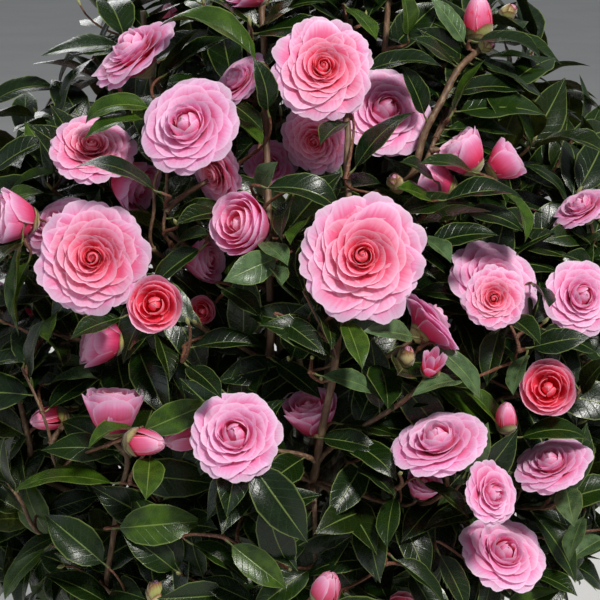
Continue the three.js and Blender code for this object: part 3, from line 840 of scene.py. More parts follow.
def add_late_flowers(shoots):
    """Some leafy shoots of the outer shell end in a smaller flower, where there is room for one."""
    for number, shoot in enumerate(shoots):
        if shoot.flower or in_viewed_frame(shoot.tip, LATE) or shell_share(shoot.tip) < LATE.outer:
            continue
        flowers = [s.flower for s in shoots if s.flower]
        first = int(len(LATE_FLOWERS) * chance(number + SEEDS.stage))
        for stage, width in LATE_FLOWERS[first:]:
            if room_between(shoot.tip, width, flowers) > SPACING.between_flowers:
                shoots[number] = Sizes(flower=flower_of(stage, width, shoot.tip, shoot.facing))
                break


class Flowers:
    """All flowers as arrays, to test points against."""

    def __init__(self, flowers):
        self.all = flowers
        for number, flower in enumerate(flowers):
            flower.number = number
        self.middles = np.array([f.middle for f in flowers])
        self.facings = np.array([f.facing for f in flowers])
        self.widths = np.array([f.width for f in flowers], float)
        self.backs = np.array([STAGES[f.stage].back for f in flowers]) * self.widths
        self.fronts = np.array([STAGES[f.stage].front for f in flowers]) * self.widths
        self.seen, self.reach = np.empty((0, 3)), np.empty(0)
        viewed = np.array([f.viewed for f in flowers])
        reach = [STAGES[f.stage].showing * f.width for f in flowers if f.viewed]
        self.keep_in_view(self.middles[viewed], reach)

    def keep_in_view(self, points, reach):
        """Nothing that grows later may hide a disc of this reach at these points."""
        self.seen = np.vstack([self.seen, np.stack(seen_at(points), axis=-1)])
        self.reach = np.append(self.reach, np.broadcast_to(reach, len(points)))

    def hold(self, points, margin, skip=None):
        """True where any point lies in a flower's room, or within margin of it."""
        offset = points[:, None] - self.middles
        along = (offset * self.facings).sum(-1)
        aside = np.linalg.norm(offset - along[..., None] * self.facings, axis=-1)
        bowl = np.clip((along - self.backs) / (BOWL.depth * self.widths), BOWL.narrowest, 1)
        inside = (
            (along > self.backs - margin)
            & (along < self.fronts + margin)
            & (aside < self.widths / 2 * bowl + margin)
        )
        if skip is not None:
            inside[:, skip] = False
        return inside.any()

    def hidden_by(self, points):
        """True where any point would stand between the viewer and what is kept in view."""
        across, up, depth = (x[:, None] for x in seen_at(points))
        apart = np.hypot(across - self.seen[:, 0], up - self.seen[:, 1])
        return ((depth < self.seen[:, 2]) & (apart < self.reach)).any()


# The trunk, the boughs and the stems of the masses


def trunk_radius(height):
    share = height / TRUNK.height
    return TRUNK.foot_radius + (TRUNK.tip_radius - TRUNK.foot_radius) * share


def foot_direction(foot, head):
    return unit(unit(head - foot) + STEM.rise * UP)


def stem_line(foot, head):
    """A mass's stem: it leaves its foot outward, and turns upright towards its head."""
    reach = np.linalg.norm(head - foot) * STEM.bend
    leaving, arriving = foot_direction(foot, head), unit(unit(head - foot) + UP)
    return Curve(foot, foot + reach * leaving, head - reach * arriving, head)


def bough_line(foot, angle, root_height, head):
    """A bough, from inside the trunk outward and up to its mass's foot."""
    out = polar(angle, 1, 0)
    root = trunk_line.at(root_height / TRUNK.height) + (trunk_radius(root_height) - BOUGH.sunk) * out
    ending = foot_direction(foot, head)
    reach = np.linalg.norm(foot - root) * BOUGH.bend
    return Curve(root, root + reach * unit(out + BOUGH.rise * UP), foot - reach * ending, foot)


def masses_of():
    masses = []
    for tier in TIERS:
        lowest, step = tier.bough_root
        for i, angle in enumerate(tier.angles):
            foot, head = polar(angle, *tier.foot), polar(angle, *tier.head)
            root_height = lowest + step * ((i * ROOT_STRIDE) % len(tier.angles))
            masses.append(
                Sizes(
                    name=f"{tier.name}_{i + 1}",
                    tier=tier.name,
                    middle=polar(angle, *tier.middle),
                    line=stem_line(foot, head),
                    bough=bough_line(foot, angle, root_height, head),
                )
            )
    foot, head = trunk_line.at(1), np.array(LEADER.head, float)
    leaving = foot + LEADER.bend * trunk_line.heading(1)
    line = Curve(foot, leaving, head - LEADER.bend * UP, head)
    middle = np.array(LEADER.middle, float)
    masses.append(Sizes(name=LEADER.name, tier=LEADER.tier, middle=middle, line=line, bough=None))
    return masses


# The twigs


def nearest_mass(point, masses):
    return min(masses, key=lambda mass: np.linalg.norm(mass.middle - point))


def best_ties(wood, target):
    """Places on the wood that a twig to a target could leave from, the best first."""
    points = wood[:, :3]
    level = np.hypot(*(target - points)[:, :2].T)
    too_high = np.maximum(0, points[:, 2] + TIES.rise * level - target[2])
    return wood[np.argsort(np.linalg.norm(points - target, axis=1) + TIES.weight * too_high)]


def twig_line(tie, end, facing):
    """A twig that leaves its stem at a slant and ends heading the way its flower or spray faces."""
    point, heading = tie[:3], tie[3:]
    reach = np.linalg.norm(end - point)
    leaving = unit(unit(end - point) + heading)
    first = point + reach * TWIG_BEND.root * leaving
    last = end - reach * TWIG_BEND.tip * facing
    return Curve(point, first, last, end)


def ties_along(line, last, places):
    """Where others may leave a line of wood, each with the line's heading there."""
    t = last * np.arange(1, places + 1) / places
    return np.hstack([line.at(t), line.heading(t)])


def add_wood(mass, line, ties):
    mass.wood = np.vstack([mass.wood, ties_along(line, *ties)])


def grow_viewed_stems(masses, flowers):
    """The stems that show on the viewed side, each from the nearest wood."""
    stems = []
    for stem in VIEWED_STEMS:
        points = [picture_point(*place) for place in stem.places]
        mass = nearest_mass(points[0], masses)
        root = best_ties(mass.wood, points[0])[0][:3]
        flower = None
        if stem.bears:
            flower = min(flowers.all, key=lambda f: np.linalg.norm(f.back - points[-1]))
            points.append(flower.back)
        size = Sizes(root_radius=stem.radius[0], tip_radius=stem.radius[1])
        line = Path([root, *points])
        stems.append(Sizes(line=line, size=size, mass=mass, flower=flower))
        flowers.keep_in_view(line.at(TESTED.stem), STEM_IN_VIEW * size.root_radius)
    for stem in stems:
        add_wood(stem.mass, stem.line, TIES.stem)
    return stems


def grow_twigs(masses, shoots, flowers):
    """The main twigs by the solids' own rule."""
    twigs = []
    for shoot in shoots:
        flower = shoot.flower
        end = flower.back if flower else shoot.tip
        facing = flower.facing if flower else shoot.facing
        mass = nearest_mass(flower.middle if flower else shoot.tip, masses)
        own = flower.number if flower else None
        for tie in best_ties(mass.wood, end):
            line = twig_line(tie, end, facing)
            points = line.at(TESTED.twig)
            if not flowers.hold(points, TWIG.root_radius, own) and not flowers.hidden_by(points):
                twigs.append(Sizes(line=line, size=TWIG, mass=mass, flower=flower, bud=not flower))
                break
    for twig in twigs:
        add_wood(twig.mass, twig.line, TIES.twig)
    return twigs


def grow_fine_twigs(masses, flowers):
    """Finer twigs between the main ones, each from the nearest wood."""
    twigs = []
    for shell in FINE_SHELLS:
        for place, out, seed in shell_places(shell):
            end = place + [between(seed + k / 7, -FINE.jitter, FINE.jitter) for k in (1, 2, 3)]
            facing = unit(out + between(seed + 0.4, *LIFT.fine) * UP)
            mass = nearest_mass(end, masses)
            for tie in best_ties(mass.wood, end)[: FINE.tries]:
                line = twig_line(tie, end, facing)
                points = line.at(TESTED.fine_twig)
                if line.length() > FINE.longest:
                    break
                if not flowers.hold(points, FINE.clear) and not flowers.hidden_by(points):
                    twigs.append(Sizes(line=line, size=FINE_TWIG, mass=mass, flower=None, bud=True))
                    add_wood(mass, line, TIES.fine_twig)
                    break
    return twigs


# The leaves


class Leaves:
    """The leaves that have found room, with points on them that others keep clear of."""

    MOST = 40_000

    def __init__(self, flowers):
        self.flowers = flowers
        self.placed = []
        self.points = np.empty((self.MOST, 3))
        self.count = 0

    def in_crown(self, points):
        return (shell_share(points) < 1 + CROWN.margin).all() and points[:, 2].min() > CROWN.lowest

    def crowded(self, points, spacing):
        taken = self.points[: self.count]
        near = (np.abs(taken - points[1]) < LEAF.length).all(axis=1)
        apart = np.linalg.norm(points[:, None] - taken[near], axis=-1)
        return (apart < spacing).any()

    def fits(self, points):
        if not self.in_crown(points) or self.flowers.hidden_by(points):
            return False
        return not self.flowers.hold(points, LEAF.clear) and not self.crowded(points, LEAF.spacing)

    def add(self, leaf, points):
        self.placed.append(leaf)
        self.points[self.count : self.count + len(points)] = points
        self.count += len(points)


def leaf_points(leaf):
    """Points on a leaf: down its middle and at its widest."""
    side = np.cross(leaf.normal, leaf.direction)
    middle = leaf.base + leaf.direction * (leaf.length * LEAF_TEST.along)[:, None]
    wide = leaf.base + leaf.direction * leaf.length * LEAF_TEST.widest
    edges = wide + side * (leaf.width * LEAF_TEST.aside)[:, None]
    return np.vstack([middle, edges])


def tint_of(seed, last):
    return int(last * chance(seed + 3.3) ** TINTS.rarity)


def leaf_on(twig, t, angle, lean, seed):
    """A leaf at a place along a twig, turned round it by an angle, with its face to the light."""
    heading, point = twig.line.heading(t), twig.line.at(t)
    across = unit(np.cross(heading, NEARLY_UP))
    side = math.cos(angle) * across + math.sin(angle) * np.cross(heading, across)
    direction = unit(math.cos(lean) * heading + math.sin(lean) * side)
    direction = unit(direction - between(seed + 0.7, *LEAF.droop) * UP)
    out = unit((point - CROWN.middle) / LIGHT.flatten)
    by_chance = np.array([between(seed + k, -1, 1) for k in (0.1, 0.2, 0.3)])
    light = LIGHT.up * UP + LIGHT.out * out + LIGHT.chance * by_chance
    size = between(seed + 0.5, 1 - LEAF.vary, 1 + LEAF.vary)
    return Sizes(
        root=point,
        base=point + LEAF.petiole * direction,
        direction=direction,
        normal=unit(light - (light @ direction) * direction),
        length=LEAF.length * size,
        width=LEAF.width * size * between(seed + 0.6, *LEAF.breadth),
        arch=between(seed + 0.8, *LEAF.arch),
        fold=between(seed + 0.9, *LEAF.fold),
        twist=between(seed + 1.1, *LEAF.twist),
        seed=seed,
        mass=twig.mass,
    )


def viewed_leaf(place, depth_step, seed):
    """A leaf set where the picture shows it. Where it looks short, it points towards the viewer."""
    foot_x, foot_y, tip_x, tip_y, seen_width, inset, arch, *tint = place
    base = picture_point(foot_x, foot_y, inset + depth_step)
    depth = (base - eye) @ sight.forward
    shown = np.linalg.norm(picture_point_at(tip_x, tip_y, depth) - base)
    length = max(shown, VIEWED_LEAF.shortest)
    tip = picture_point_at(tip_x, tip_y, depth - math.sqrt(length**2 - shown**2))
    direction = unit(tip - base)
    seen_width *= PIXEL * depth / SIGHT.distance
    width = max(VIEWED_LEAF.narrowest, VIEWED_LEAF.slimness * length, seen_width)
    turn = math.acos(seen_width / width)
    to_viewer = unit(eye - base)
    to_viewer = unit(to_viewer - (to_viewer @ direction) * direction)
    upward = np.cross(direction, to_viewer)
    upward *= math.copysign(1, upward @ sight.up)
    facing = -to_viewer if place in LEAVES_FROM_BELOW else to_viewer
    return Sizes(
        root=base - LEAF.petiole * direction,
        base=base,
        direction=direction,
        normal=math.cos(turn) * facing + math.sin(turn) * upward,
        length=np.linalg.norm(tip - base) * (1 + VIEWED_LEAF.arch_length * arch**2),
        width=width,
        arch=arch,
        fold=between(seed + 0.9, *VIEWED_LEAF.fold),
        twist=between(seed + 1.1, *VIEWED_LEAF.twist),
        seed=seed,
        tint=tint[0] if tint else tint_of(seed, TINTS.last_viewed),
    )


def placed_leaf(place, seed, leaves, flowers):
    """A viewed leaf at the first depth where it has room, and points on it."""
    for depth_step in DEPTH_STEPS:
        leaf = viewed_leaf(place, depth_step, seed)
        points = leaf_points(leaf)
        held = flowers.hold(points, VIEWED_LEAF.clear)
        if not held and not leaves.crowded(points, VIEWED_LEAF.spacing):
            break
    return leaf, points


def grow_viewed_leaves(masses, leaves, flowers):
    """The leaves that show on the viewed side, and a fine twig to each from the nearest wood."""
    twigs = []
    for number, place in enumerate(VIEWED_LEAVES + LEAVES_FROM_BELOW):
        leaf, points = placed_leaf(place, number + VIEWED_LEAF.seed, leaves, flowers)
        leaf.mass = nearest_mass(leaf.root, masses)
        leaves.add(leaf, points)
        ties = best_ties(leaf.mass.wood, leaf.root)[: VIEWED_LEAF.tries]
        lines = [twig_line(tie, leaf.root, leaf.direction) for tie in ties]
        clear = [line for line in lines if not flowers.hold(line.at(TESTED.leaf_twig), VIEWED_LEAF.clear)]
        line = (clear or lines)[0]
        twigs.append(Sizes(line=line, size=FINE_TWIG, mass=leaf.mass, flower=None, bud=False))
        add_wood(leaf.mass, line, TIES.leaf_twig)
        flowers.keep_in_view(points[:3], VIEWED_LEAF.in_view * leaf.width)
    return twigs


def grow_leaves(twigs, leaves):
    """Leaves along the twigs, from their tips back, wherever there is room."""
    for number, twig in enumerate(twigs):
        seed = number + 0.5
        length = twig.line.length()
        bare = SPRAY.bare_behind_flower if twig.flower else SPRAY.bare
        step = SPRAY.step_behind_flower if twig.flower else SPRAY.step
        reach = min(length * SPRAY.share, SPRAY.longest)
        for i in range(int((reach - bare) / step) + 1):
            closer = SPRAY.closer if i < SPRAY.crowded and not twig.flower else 1
            t = 1 - (bare + i * step * closer) / length
            if t < SPRAY.nearest_root:
                break
            lean = math.radians(between(seed + i / 3, *LEAF.lean))
            for turn in SPRAY.turns:
                leaf = leaf_on(twig, t, i * GOLDEN_ANGLE + seed + turn, lean, SPRAY.seed * seed + i)
                points = leaf_points(leaf)
                if leaves.fits(points):
                    leaf.tint = tint_of(seed, TINTS.last)
                    leaves.add(leaf, points)
                    break


# Meshes


TILE = Sizes(half=0.46, foot=0.02, length=0.96)
SHARP_ANGLE = math.radians(60)
# Two directions that no limb sets out in, to find a side of it from.
ASKEW = [0.31, 0.17, 0.93]
ASKEW_TO_TRUNK = [0.31, 0.93, 0.17]


def tile(index, count, across, along):
    """A place on the shared map: its tile, then -1 to 1 across the tile and 0 to 1 along it."""
    u = (np.asarray(index) + 0.5 + TILE.half * np.asarray(across)) / count
    v = TILE.foot + TILE.length * np.asarray(along)
    return np.stack(np.broadcast_arrays(u, v), axis=-1)


def gather(things, name):
    """One value of each thing, with room for the rows and columns of its form."""
    return np.array([getattr(thing, name) for thing in things], float)[:, None, None]


def grid_faces(rows, columns):
    """The faces of a grid of points, row by row."""
    corner = np.arange(rows - 1)[:, None] * columns + np.arange(columns - 1)
    corner = corner.ravel()
    return np.stack([corner, corner + 1, corner + columns + 1, corner + columns], axis=-1)


def join(name, parts, material, nodes):
    """One mesh from many parts. A part is n copies of one form: points (n, p, 3), and for each set of faces
    the corners (f, k) and their places on the map (n, f, k, 2)."""
    points = np.concatenate([part.points.reshape(-1, 3) for part in parts]) * MILLIMETRE
    faces, maps, offset = [], [], 0
    for part in parts:
        copies, size = part.points.shape[:2]
        starts = offset + size * np.arange(copies)
        for corners, places in zip(part.faces, part.maps):
            numbered = starts[:, None, None] + corners
            faces += numbered.reshape(-1, corners.shape[1]).tolist()
            maps.append(places.reshape(-1, 2))
        offset += copies * size
    mesh = bpy.data.meshes.new(name)
    mesh.from_pydata(points, [], faces)
    mesh.uv_layers.new(name="OFBake").data.foreach_set("uv", np.concatenate(maps).ravel())
    mesh.shade_smooth()
    mesh.set_sharp_from_angle(angle=SHARP_ANGLE)
    mesh.materials.append(material)
    piece = bpy.data.objects.new(name, mesh)
    bpy.context.scene.collection.objects.link(piece)
    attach(piece, "root")
    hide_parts(*nodes)
    return piece


def ring_ways(points, sides, askew):
    """The ways out from lines of points (n, m, 3), at even angles round each and without a twist."""
    headings = unit(np.gradient(points, axis=1))
    side = unit(np.cross(headings[:, 0], askew))
    firsts = []
    for heading in headings.swapaxes(0, 1):
        side = unit(side - (side * heading).sum(-1, keepdims=True) * heading)
        firsts.append(side)
    first = np.stack(firsts, axis=1)
    second = np.cross(headings, first)
    angle = (FULL_TURN * np.arange(sides) / sides)[:, None]
    return np.cos(angle) * first[:, :, None] + np.sin(angle) * second[:, :, None]


def tube_faces(rows, sides, tones, tone_count):
    """The faces of a tube that is closed at both ends, and their places on the map for each tone."""
    row, column = (x.ravel() for x in np.mgrid[: rows - 1, :sides])
    after = (column + 1) % sides
    corners = [(row, column), (row, after), (row + 1, after), (row + 1, column)]
    walls = np.stack([place * sides + number for place, number in corners], axis=-1)
    ends = np.stack([np.arange(sides)[::-1], (rows - 1) * sides + np.arange(sides)])
    across = 2 * np.stack([column, column + 1, column + 1, column], axis=-1) / sides - 1
    along = np.stack([row, row, row + 1, row + 1], axis=-1) / (rows - 1)
    tones = np.asarray(tones)[:, None, None]
    wall_map = tile(tones, tone_count, across, along)
    end_map = tile(tones, tone_count, np.zeros((2, sides)), np.array([[0.0], [1.0]]))
    return [walls, ends], [wall_map, end_map]


def tubes(points, radii, sides, tones):
    """Round limbs through rows of points (n, m, 3)."""
    rings = points[:, :, None] + radii[:, :, None, None] * ring_ways(points, sides, ASKEW)
    faces, maps = tube_faces(points.shape[1], sides, tones, len(TWIG_COLOURS))
    return Sizes(points=rings.reshape(len(points), -1, 3), faces=faces, maps=maps)


# The outline of a leaf: oval, widest past its middle, and drawn out to a point from here on.
OUTLINE = Sizes(lean=0.82, fullness=0.8, point_from=0.72, point=0.45)
# The form of a blade. Its edge is toothed and waves, and each half bellies out between rib and edge.
BLADE = Sizes(
    tooth=0.035,
    bend_power=1.5,
    still_at=0.3,
    belly=0.30,
    edge_drop=0.08,
    wave=0.10,
    waves=1.6,
    slant=2.1,
    narrowing=0.12,
)
# The columns of a leaf's grid, from -1 to 1 across: the upper face's, then the middle of the under face.
LEAF_COLUMNS = [-1.0, -0.5, 0.0, 0.5, 1.0, 0.0]
UPPER_STRIPS = 4
MIDDLE_COLUMN = 2


def leaf_outline(t):
    """Half the width of a leaf along its length, where 1 is its widest."""
    oval = np.sin(math.pi * t**OUTLINE.lean) ** OUTLINE.fullness
    past = np.clip((t - OUTLINE.point_from) / (1 - OUTLINE.point_from), 0, 1)
    return oval * (1 - OUTLINE.point * past)


def leaf_faces():
    """The quads and the end triangles of a leaf, each corner as its number and its places across and along,
    and for each face whether it is on the under side."""
    rows, columns = LEAF.stations - 2, len(LEAF_COLUMNS)
    ends = {-1: rows * columns, rows: rows * columns + 1}

    def corner(row, column):
        number = ends.get(row, row * columns + column)
        return number, LEAF_COLUMNS[column], (row + 1) / (rows + 1)

    quads, triangles = [], []
    for a in range(columns):
        b = (a + 1) % columns
        for i in range(rows - 1):
            quads.append([corner(i, b), corner(i + 1, b), corner(i + 1, a), corner(i, a)])
        triangles.append([corner(0, b), corner(0, a), corner(-1, MIDDLE_COLUMN)])
        triangles.append([corner(rows - 1, b), corner(rows, MIDDLE_COLUMN), corner(rows - 1, a)])
    under = np.arange(columns) >= UPPER_STRIPS
    return [(np.array(quads), under.repeat(rows - 1)), (np.array(triangles), under.repeat(2))]


def leaf_part(leaves):
    """The leaves as closed thin blades: an upper face of four strips and a plainer under face."""
    n, m = len(leaves), LEAF.stations
    width, length, arch = (gather(leaves, name)[..., 0] for name in ("width", "length", "arch"))
    fold, twist, seed = (gather(leaves, name) for name in ("fold", "twist", "seed"))
    base, ahead, normal = (gather(leaves, name) for name in ("base", "direction", "normal"))
    t = np.linspace(0, 1, m)
    outline = leaf_outline(t)
    half = (width / 2 * outline * (1 - BLADE.tooth * (np.arange(m) % 2)))[..., None]
    bend = arch * (t**BLADE.bend_power - BLADE.still_at)
    middle_bend = (bend[:, 1:] + bend[:, :-1]) / 2
    steps = length / (m - 1) * np.stack([np.cos(middle_bend), -np.sin(middle_bend)])
    x, z = np.concatenate([np.zeros((2, n, 1)), steps.cumsum(axis=2)], axis=2)[..., None]

    t = t[:, None]
    s = np.array(LEAF_COLUMNS[: UPPER_STRIPS + 1])
    away = np.abs(s)
    wave = BLADE.wave * np.sin(FULL_TURN * BLADE.waves * t + seed + BLADE.slant * s) * away**2
    lift = half * (fold * away + BLADE.belly * away * (1 - away) - BLADE.edge_drop * away**4 + wave)
    aside = half * s * (1 - BLADE.narrowing * fold)
    turn = twist * (t - BLADE.still_at)
    under = -LEAF.thickness * np.sqrt(np.clip(outline, 0, 1)) * np.ones((n, 1))
    y = aside * np.cos(turn) - lift * np.sin(turn)
    w = aside * np.sin(turn) + lift * np.cos(turn)
    y = np.concatenate([y, np.zeros((n, m, 1))], axis=2)
    w = np.concatenate([w, under[..., None]], axis=2)

    sway, level = np.sin(bend)[..., None], np.cos(bend)[..., None]
    along, above = x + w * sway, z + w * level
    side = np.cross(normal, ahead)
    points = base + along[..., None] * ahead + y[..., None] * side + above[..., None] * normal
    inner = points[:, 1:-1].reshape(n, -1, 3)
    ends = points[:, [0, -1], MIDDLE_COLUMN]
    tiles = 2 * np.array([leaf.tint for leaf in leaves])[:, None, None]
    faces, maps = [], []
    for corners, below in leaf_faces():
        faces.append(corners[..., 0].astype(int))
        maps.append(tile(tiles + below[:, None], 2 * len(LEAF_COLOURS), corners[..., 1], corners[..., 2]))
    return Sizes(points=np.concatenate([inner, ends], axis=1), faces=faces, maps=maps)


def blend(weights, knots):
    """The radius and the height that weights give the knots of a curve."""
    return [sum(weight * knot[axis] for weight, knot in zip(weights, knots)) for axis in range(2)]


def petal_part(petals, rows, columns, tone_count):
    """Petals or scales as curved sheets. Each rises from the heart in its flower's own frame."""
    t = np.linspace(0, 1, rows)[None, :, None]
    s = np.linspace(-1, 1, columns)[None, None, :]
    names = ("cover", "roundness", "notch", "root", "foot", "tip", "top")
    cover, roundness, notch, root, foot, tip, top = (gather(petals, name) for name in names)
    leave, arrive = np.radians(gather(petals, "leave")), np.radians(gather(petals, "arrive"))
    notch = notch * np.exp(-((s / FORM.notch_width) ** 2))
    span = t * (1 - roundness * np.abs(s) ** FORM.end_power - notch * t**4)
    reach = cover * span
    left = 1 - reach
    chord = FORM.handles * np.hypot(tip - root, top - foot)
    knots = [
        (root, foot),
        (root + chord * np.cos(leave), foot + chord * np.sin(leave)),
        (tip - chord * np.cos(arrive), top - chord * np.sin(arrive)),
        (tip, top),
    ]
    radius, height = blend([left**3, 3 * left**2 * reach, 3 * left * reach**2, reach**3], knots)
    slopes = [
        -3 * left**2,
        3 * left**2 - 6 * left * reach,
        6 * left * reach - 3 * reach**2,
        3 * reach**2,
    ]
    outward, upward = blend(slopes, knots)
    steep = np.hypot(outward, upward) + TINY

    half, hollow, lean, ripple, phase, proud = (
        gather(petals, name) for name in ("half_width", "hollow", "lean", "ripple", "phase", "proud")
    )
    opening = np.sin(math.pi / 2 * np.clip(span / FORM.widest, 0, 1)) ** FORM.fullness
    aside = s * half * (FORM.foot_width + (1 - FORM.foot_width) * opening)
    waves = ripple * np.sin(FORM.ripples * s + phase) * t**3
    offset = hollow * half * (s**2 - FORM.level) * t + lean * s * t + waves - proud
    radius = radius - upward / steep * offset
    height = height + outward / steep * offset
    angle = gather(petals, "angle") + aside / np.maximum(radius, gather(petals, "tightest"))
    drift, drift_way = gather(petals, "drift") * t, gather(petals, "drift_way")
    local = [
        radius * np.cos(angle) + drift * np.cos(drift_way),
        radius * np.sin(angle) + drift * np.sin(drift_way),
        height,
    ]
    frames = np.array([petal.frame for petal in petals])
    points = np.einsum("prck,pkj->prcj", np.stack(local, axis=-1), frames) + gather(petals, "origin")
    faces = grid_faces(rows, columns)
    across, along = (places.ravel()[faces] for places in np.broadcast_arrays(s, t))
    tones = np.array([petal.tone for petal in petals])[:, None, None]
    maps = tile(tones, tone_count, across, along)
    return Sizes(points=points.reshape(len(petals), -1, 3), faces=[faces], maps=[maps])


def frame_of(flower, seed):
    """Three axes as rows: two across a flower, turned by chance, and the way it faces."""
    side = unit(np.cross(ASKEW, flower.facing))
    other = np.cross(flower.facing, side)
    turn = between(seed, *ANY_WAY)
    first = math.cos(turn) * side + math.sin(turn) * other
    return np.array([first, np.cross(flower.facing, first), flower.facing])


def petals_of(flower, seed):
    """The petals of a flower, from its table of whorls."""
    stage, whorls, width = STAGES[flower.stage], np.array(WHORLS[flower.stage], float), flower.width
    wild = between(seed + 0.4, *PETAL_VARY.wild)
    axes = frame_of(flower, seed)
    drift_way = between(seed + 0.22, *ANY_WAY)
    drift = between(seed + 0.21, *PETAL_VARY.drift) * width * wild
    palest, deepest = stage.tones
    petals = []
    for w, whorl in enumerate(whorls):
        after = whorls[min(w + 1, len(whorls) - 1)]
        for i in range(int(whorl[0])):
            share = i / whorl[0]
            inward = (w + share) / (len(whorls) - 1 / whorls[-1][0])
            calm = 1 - PETAL.calming * inward
            count, tip, top, leave, arrive, overlap, hollow, roundness = whorl + share * (after - whorl)
            k = seed + PETAL.whorl_seed * w + PETAL.seed * i
            radius = tip * width * (1 + wild * between(k + 0.01, *PETAL_VARY.tip))
            spacing = math.pi / count * max(radius, PETAL.narrowest * width)
            petals.append(
                Sizes(
                    frame=axes,
                    origin=flower.middle,
                    angle=GOLDEN_ANGLE * len(petals) + wild * between(k + 0.02, *PETAL_VARY.turn),
                    root=min(PETAL.root * width, PETAL.root_share * radius),
                    foot=(stage.back + PETAL.foot + stage.raised * inward) * width,
                    tip=radius,
                    top=(top + wild * between(k + 0.03, *PETAL_VARY.top)) * width,
                    leave=leave,
                    arrive=arrive + wild * calm * between(k + 0.04, *PETAL_VARY.arrive),
                    half_width=spacing * overlap * (1 + wild * between(k + 0.05, *PETAL_VARY.width)),
                    hollow=hollow + wild * (1 - inward) * between(k + 0.06, *PETAL_VARY.hollow),
                    lean=PETAL.lean * width * calm,
                    ripple=PETAL.ripple * width * wild * (1 - inward),
                    phase=between(k + 0.07, *ANY_WAY),
                    notch=(1 - inward) * (PETAL.notch + between(k + 0.08, *PETAL_VARY.notch) * wild),
                    roundness=roundness,
                    tightest=PETAL.tightest * width,
                    drift=drift * inward,
                    drift_way=drift_way,
                    cover=1,
                    proud=0,
                    tone=round(palest + inward * (deepest - palest)),
                )
            )
    return petals


def scales_of(flower, seed):
    """The scales of a flower: they follow its outermost petals and stand a little proud of them."""
    stage, width = STAGES[flower.stage], flower.width
    scaly = flower.stage == "bud" and width < SCALY_WIDTH
    rows = SCALES["scaly bud" if scaly else flower.stage]
    _, tip, top, leave, arrive, *_ = WHORLS[flower.stage][0]
    axes = frame_of(flower, seed)
    plain = dict.fromkeys(["hollow", "ripple", "phase", "notch", "drift", "drift_way"], 0)
    scales = []
    for w, (count, cover, overlap) in enumerate(rows):
        across = stage.base * width * min(1, SCALE.foot_width + SCALE.spread * cover)
        for i in range(count):
            k = seed + SCALE.row_seed * w + SCALE.seed * i
            place = i + 0.5 * (w % 2) + between(k + 0.1, *SCALE.turn)
            scales.append(
                Sizes(
                    frame=axes,
                    origin=flower.middle,
                    angle=place * FULL_TURN / count,
                    root=PETAL.root * width,
                    foot=(stage.back + PETAL.foot) * width,
                    tip=tip * width,
                    top=top * width,
                    leave=leave,
                    arrive=arrive,
                    half_width=math.pi / count * overlap * across,
                    lean=SCALE.lean,
                    roundness=SCALE.roundness,
                    tightest=SCALE.tightest * width,
                    cover=min(cover * between(k, *SCALE.cover), SCALE.fullest),
                    proud=SCALE.lift * (SCALE.first_lift + w),
                    tone=(SCALE.tones if scaly else 0) + (w + i) % SCALE.tones,
                    **plain,
                )
            )
    return scales


# Materials


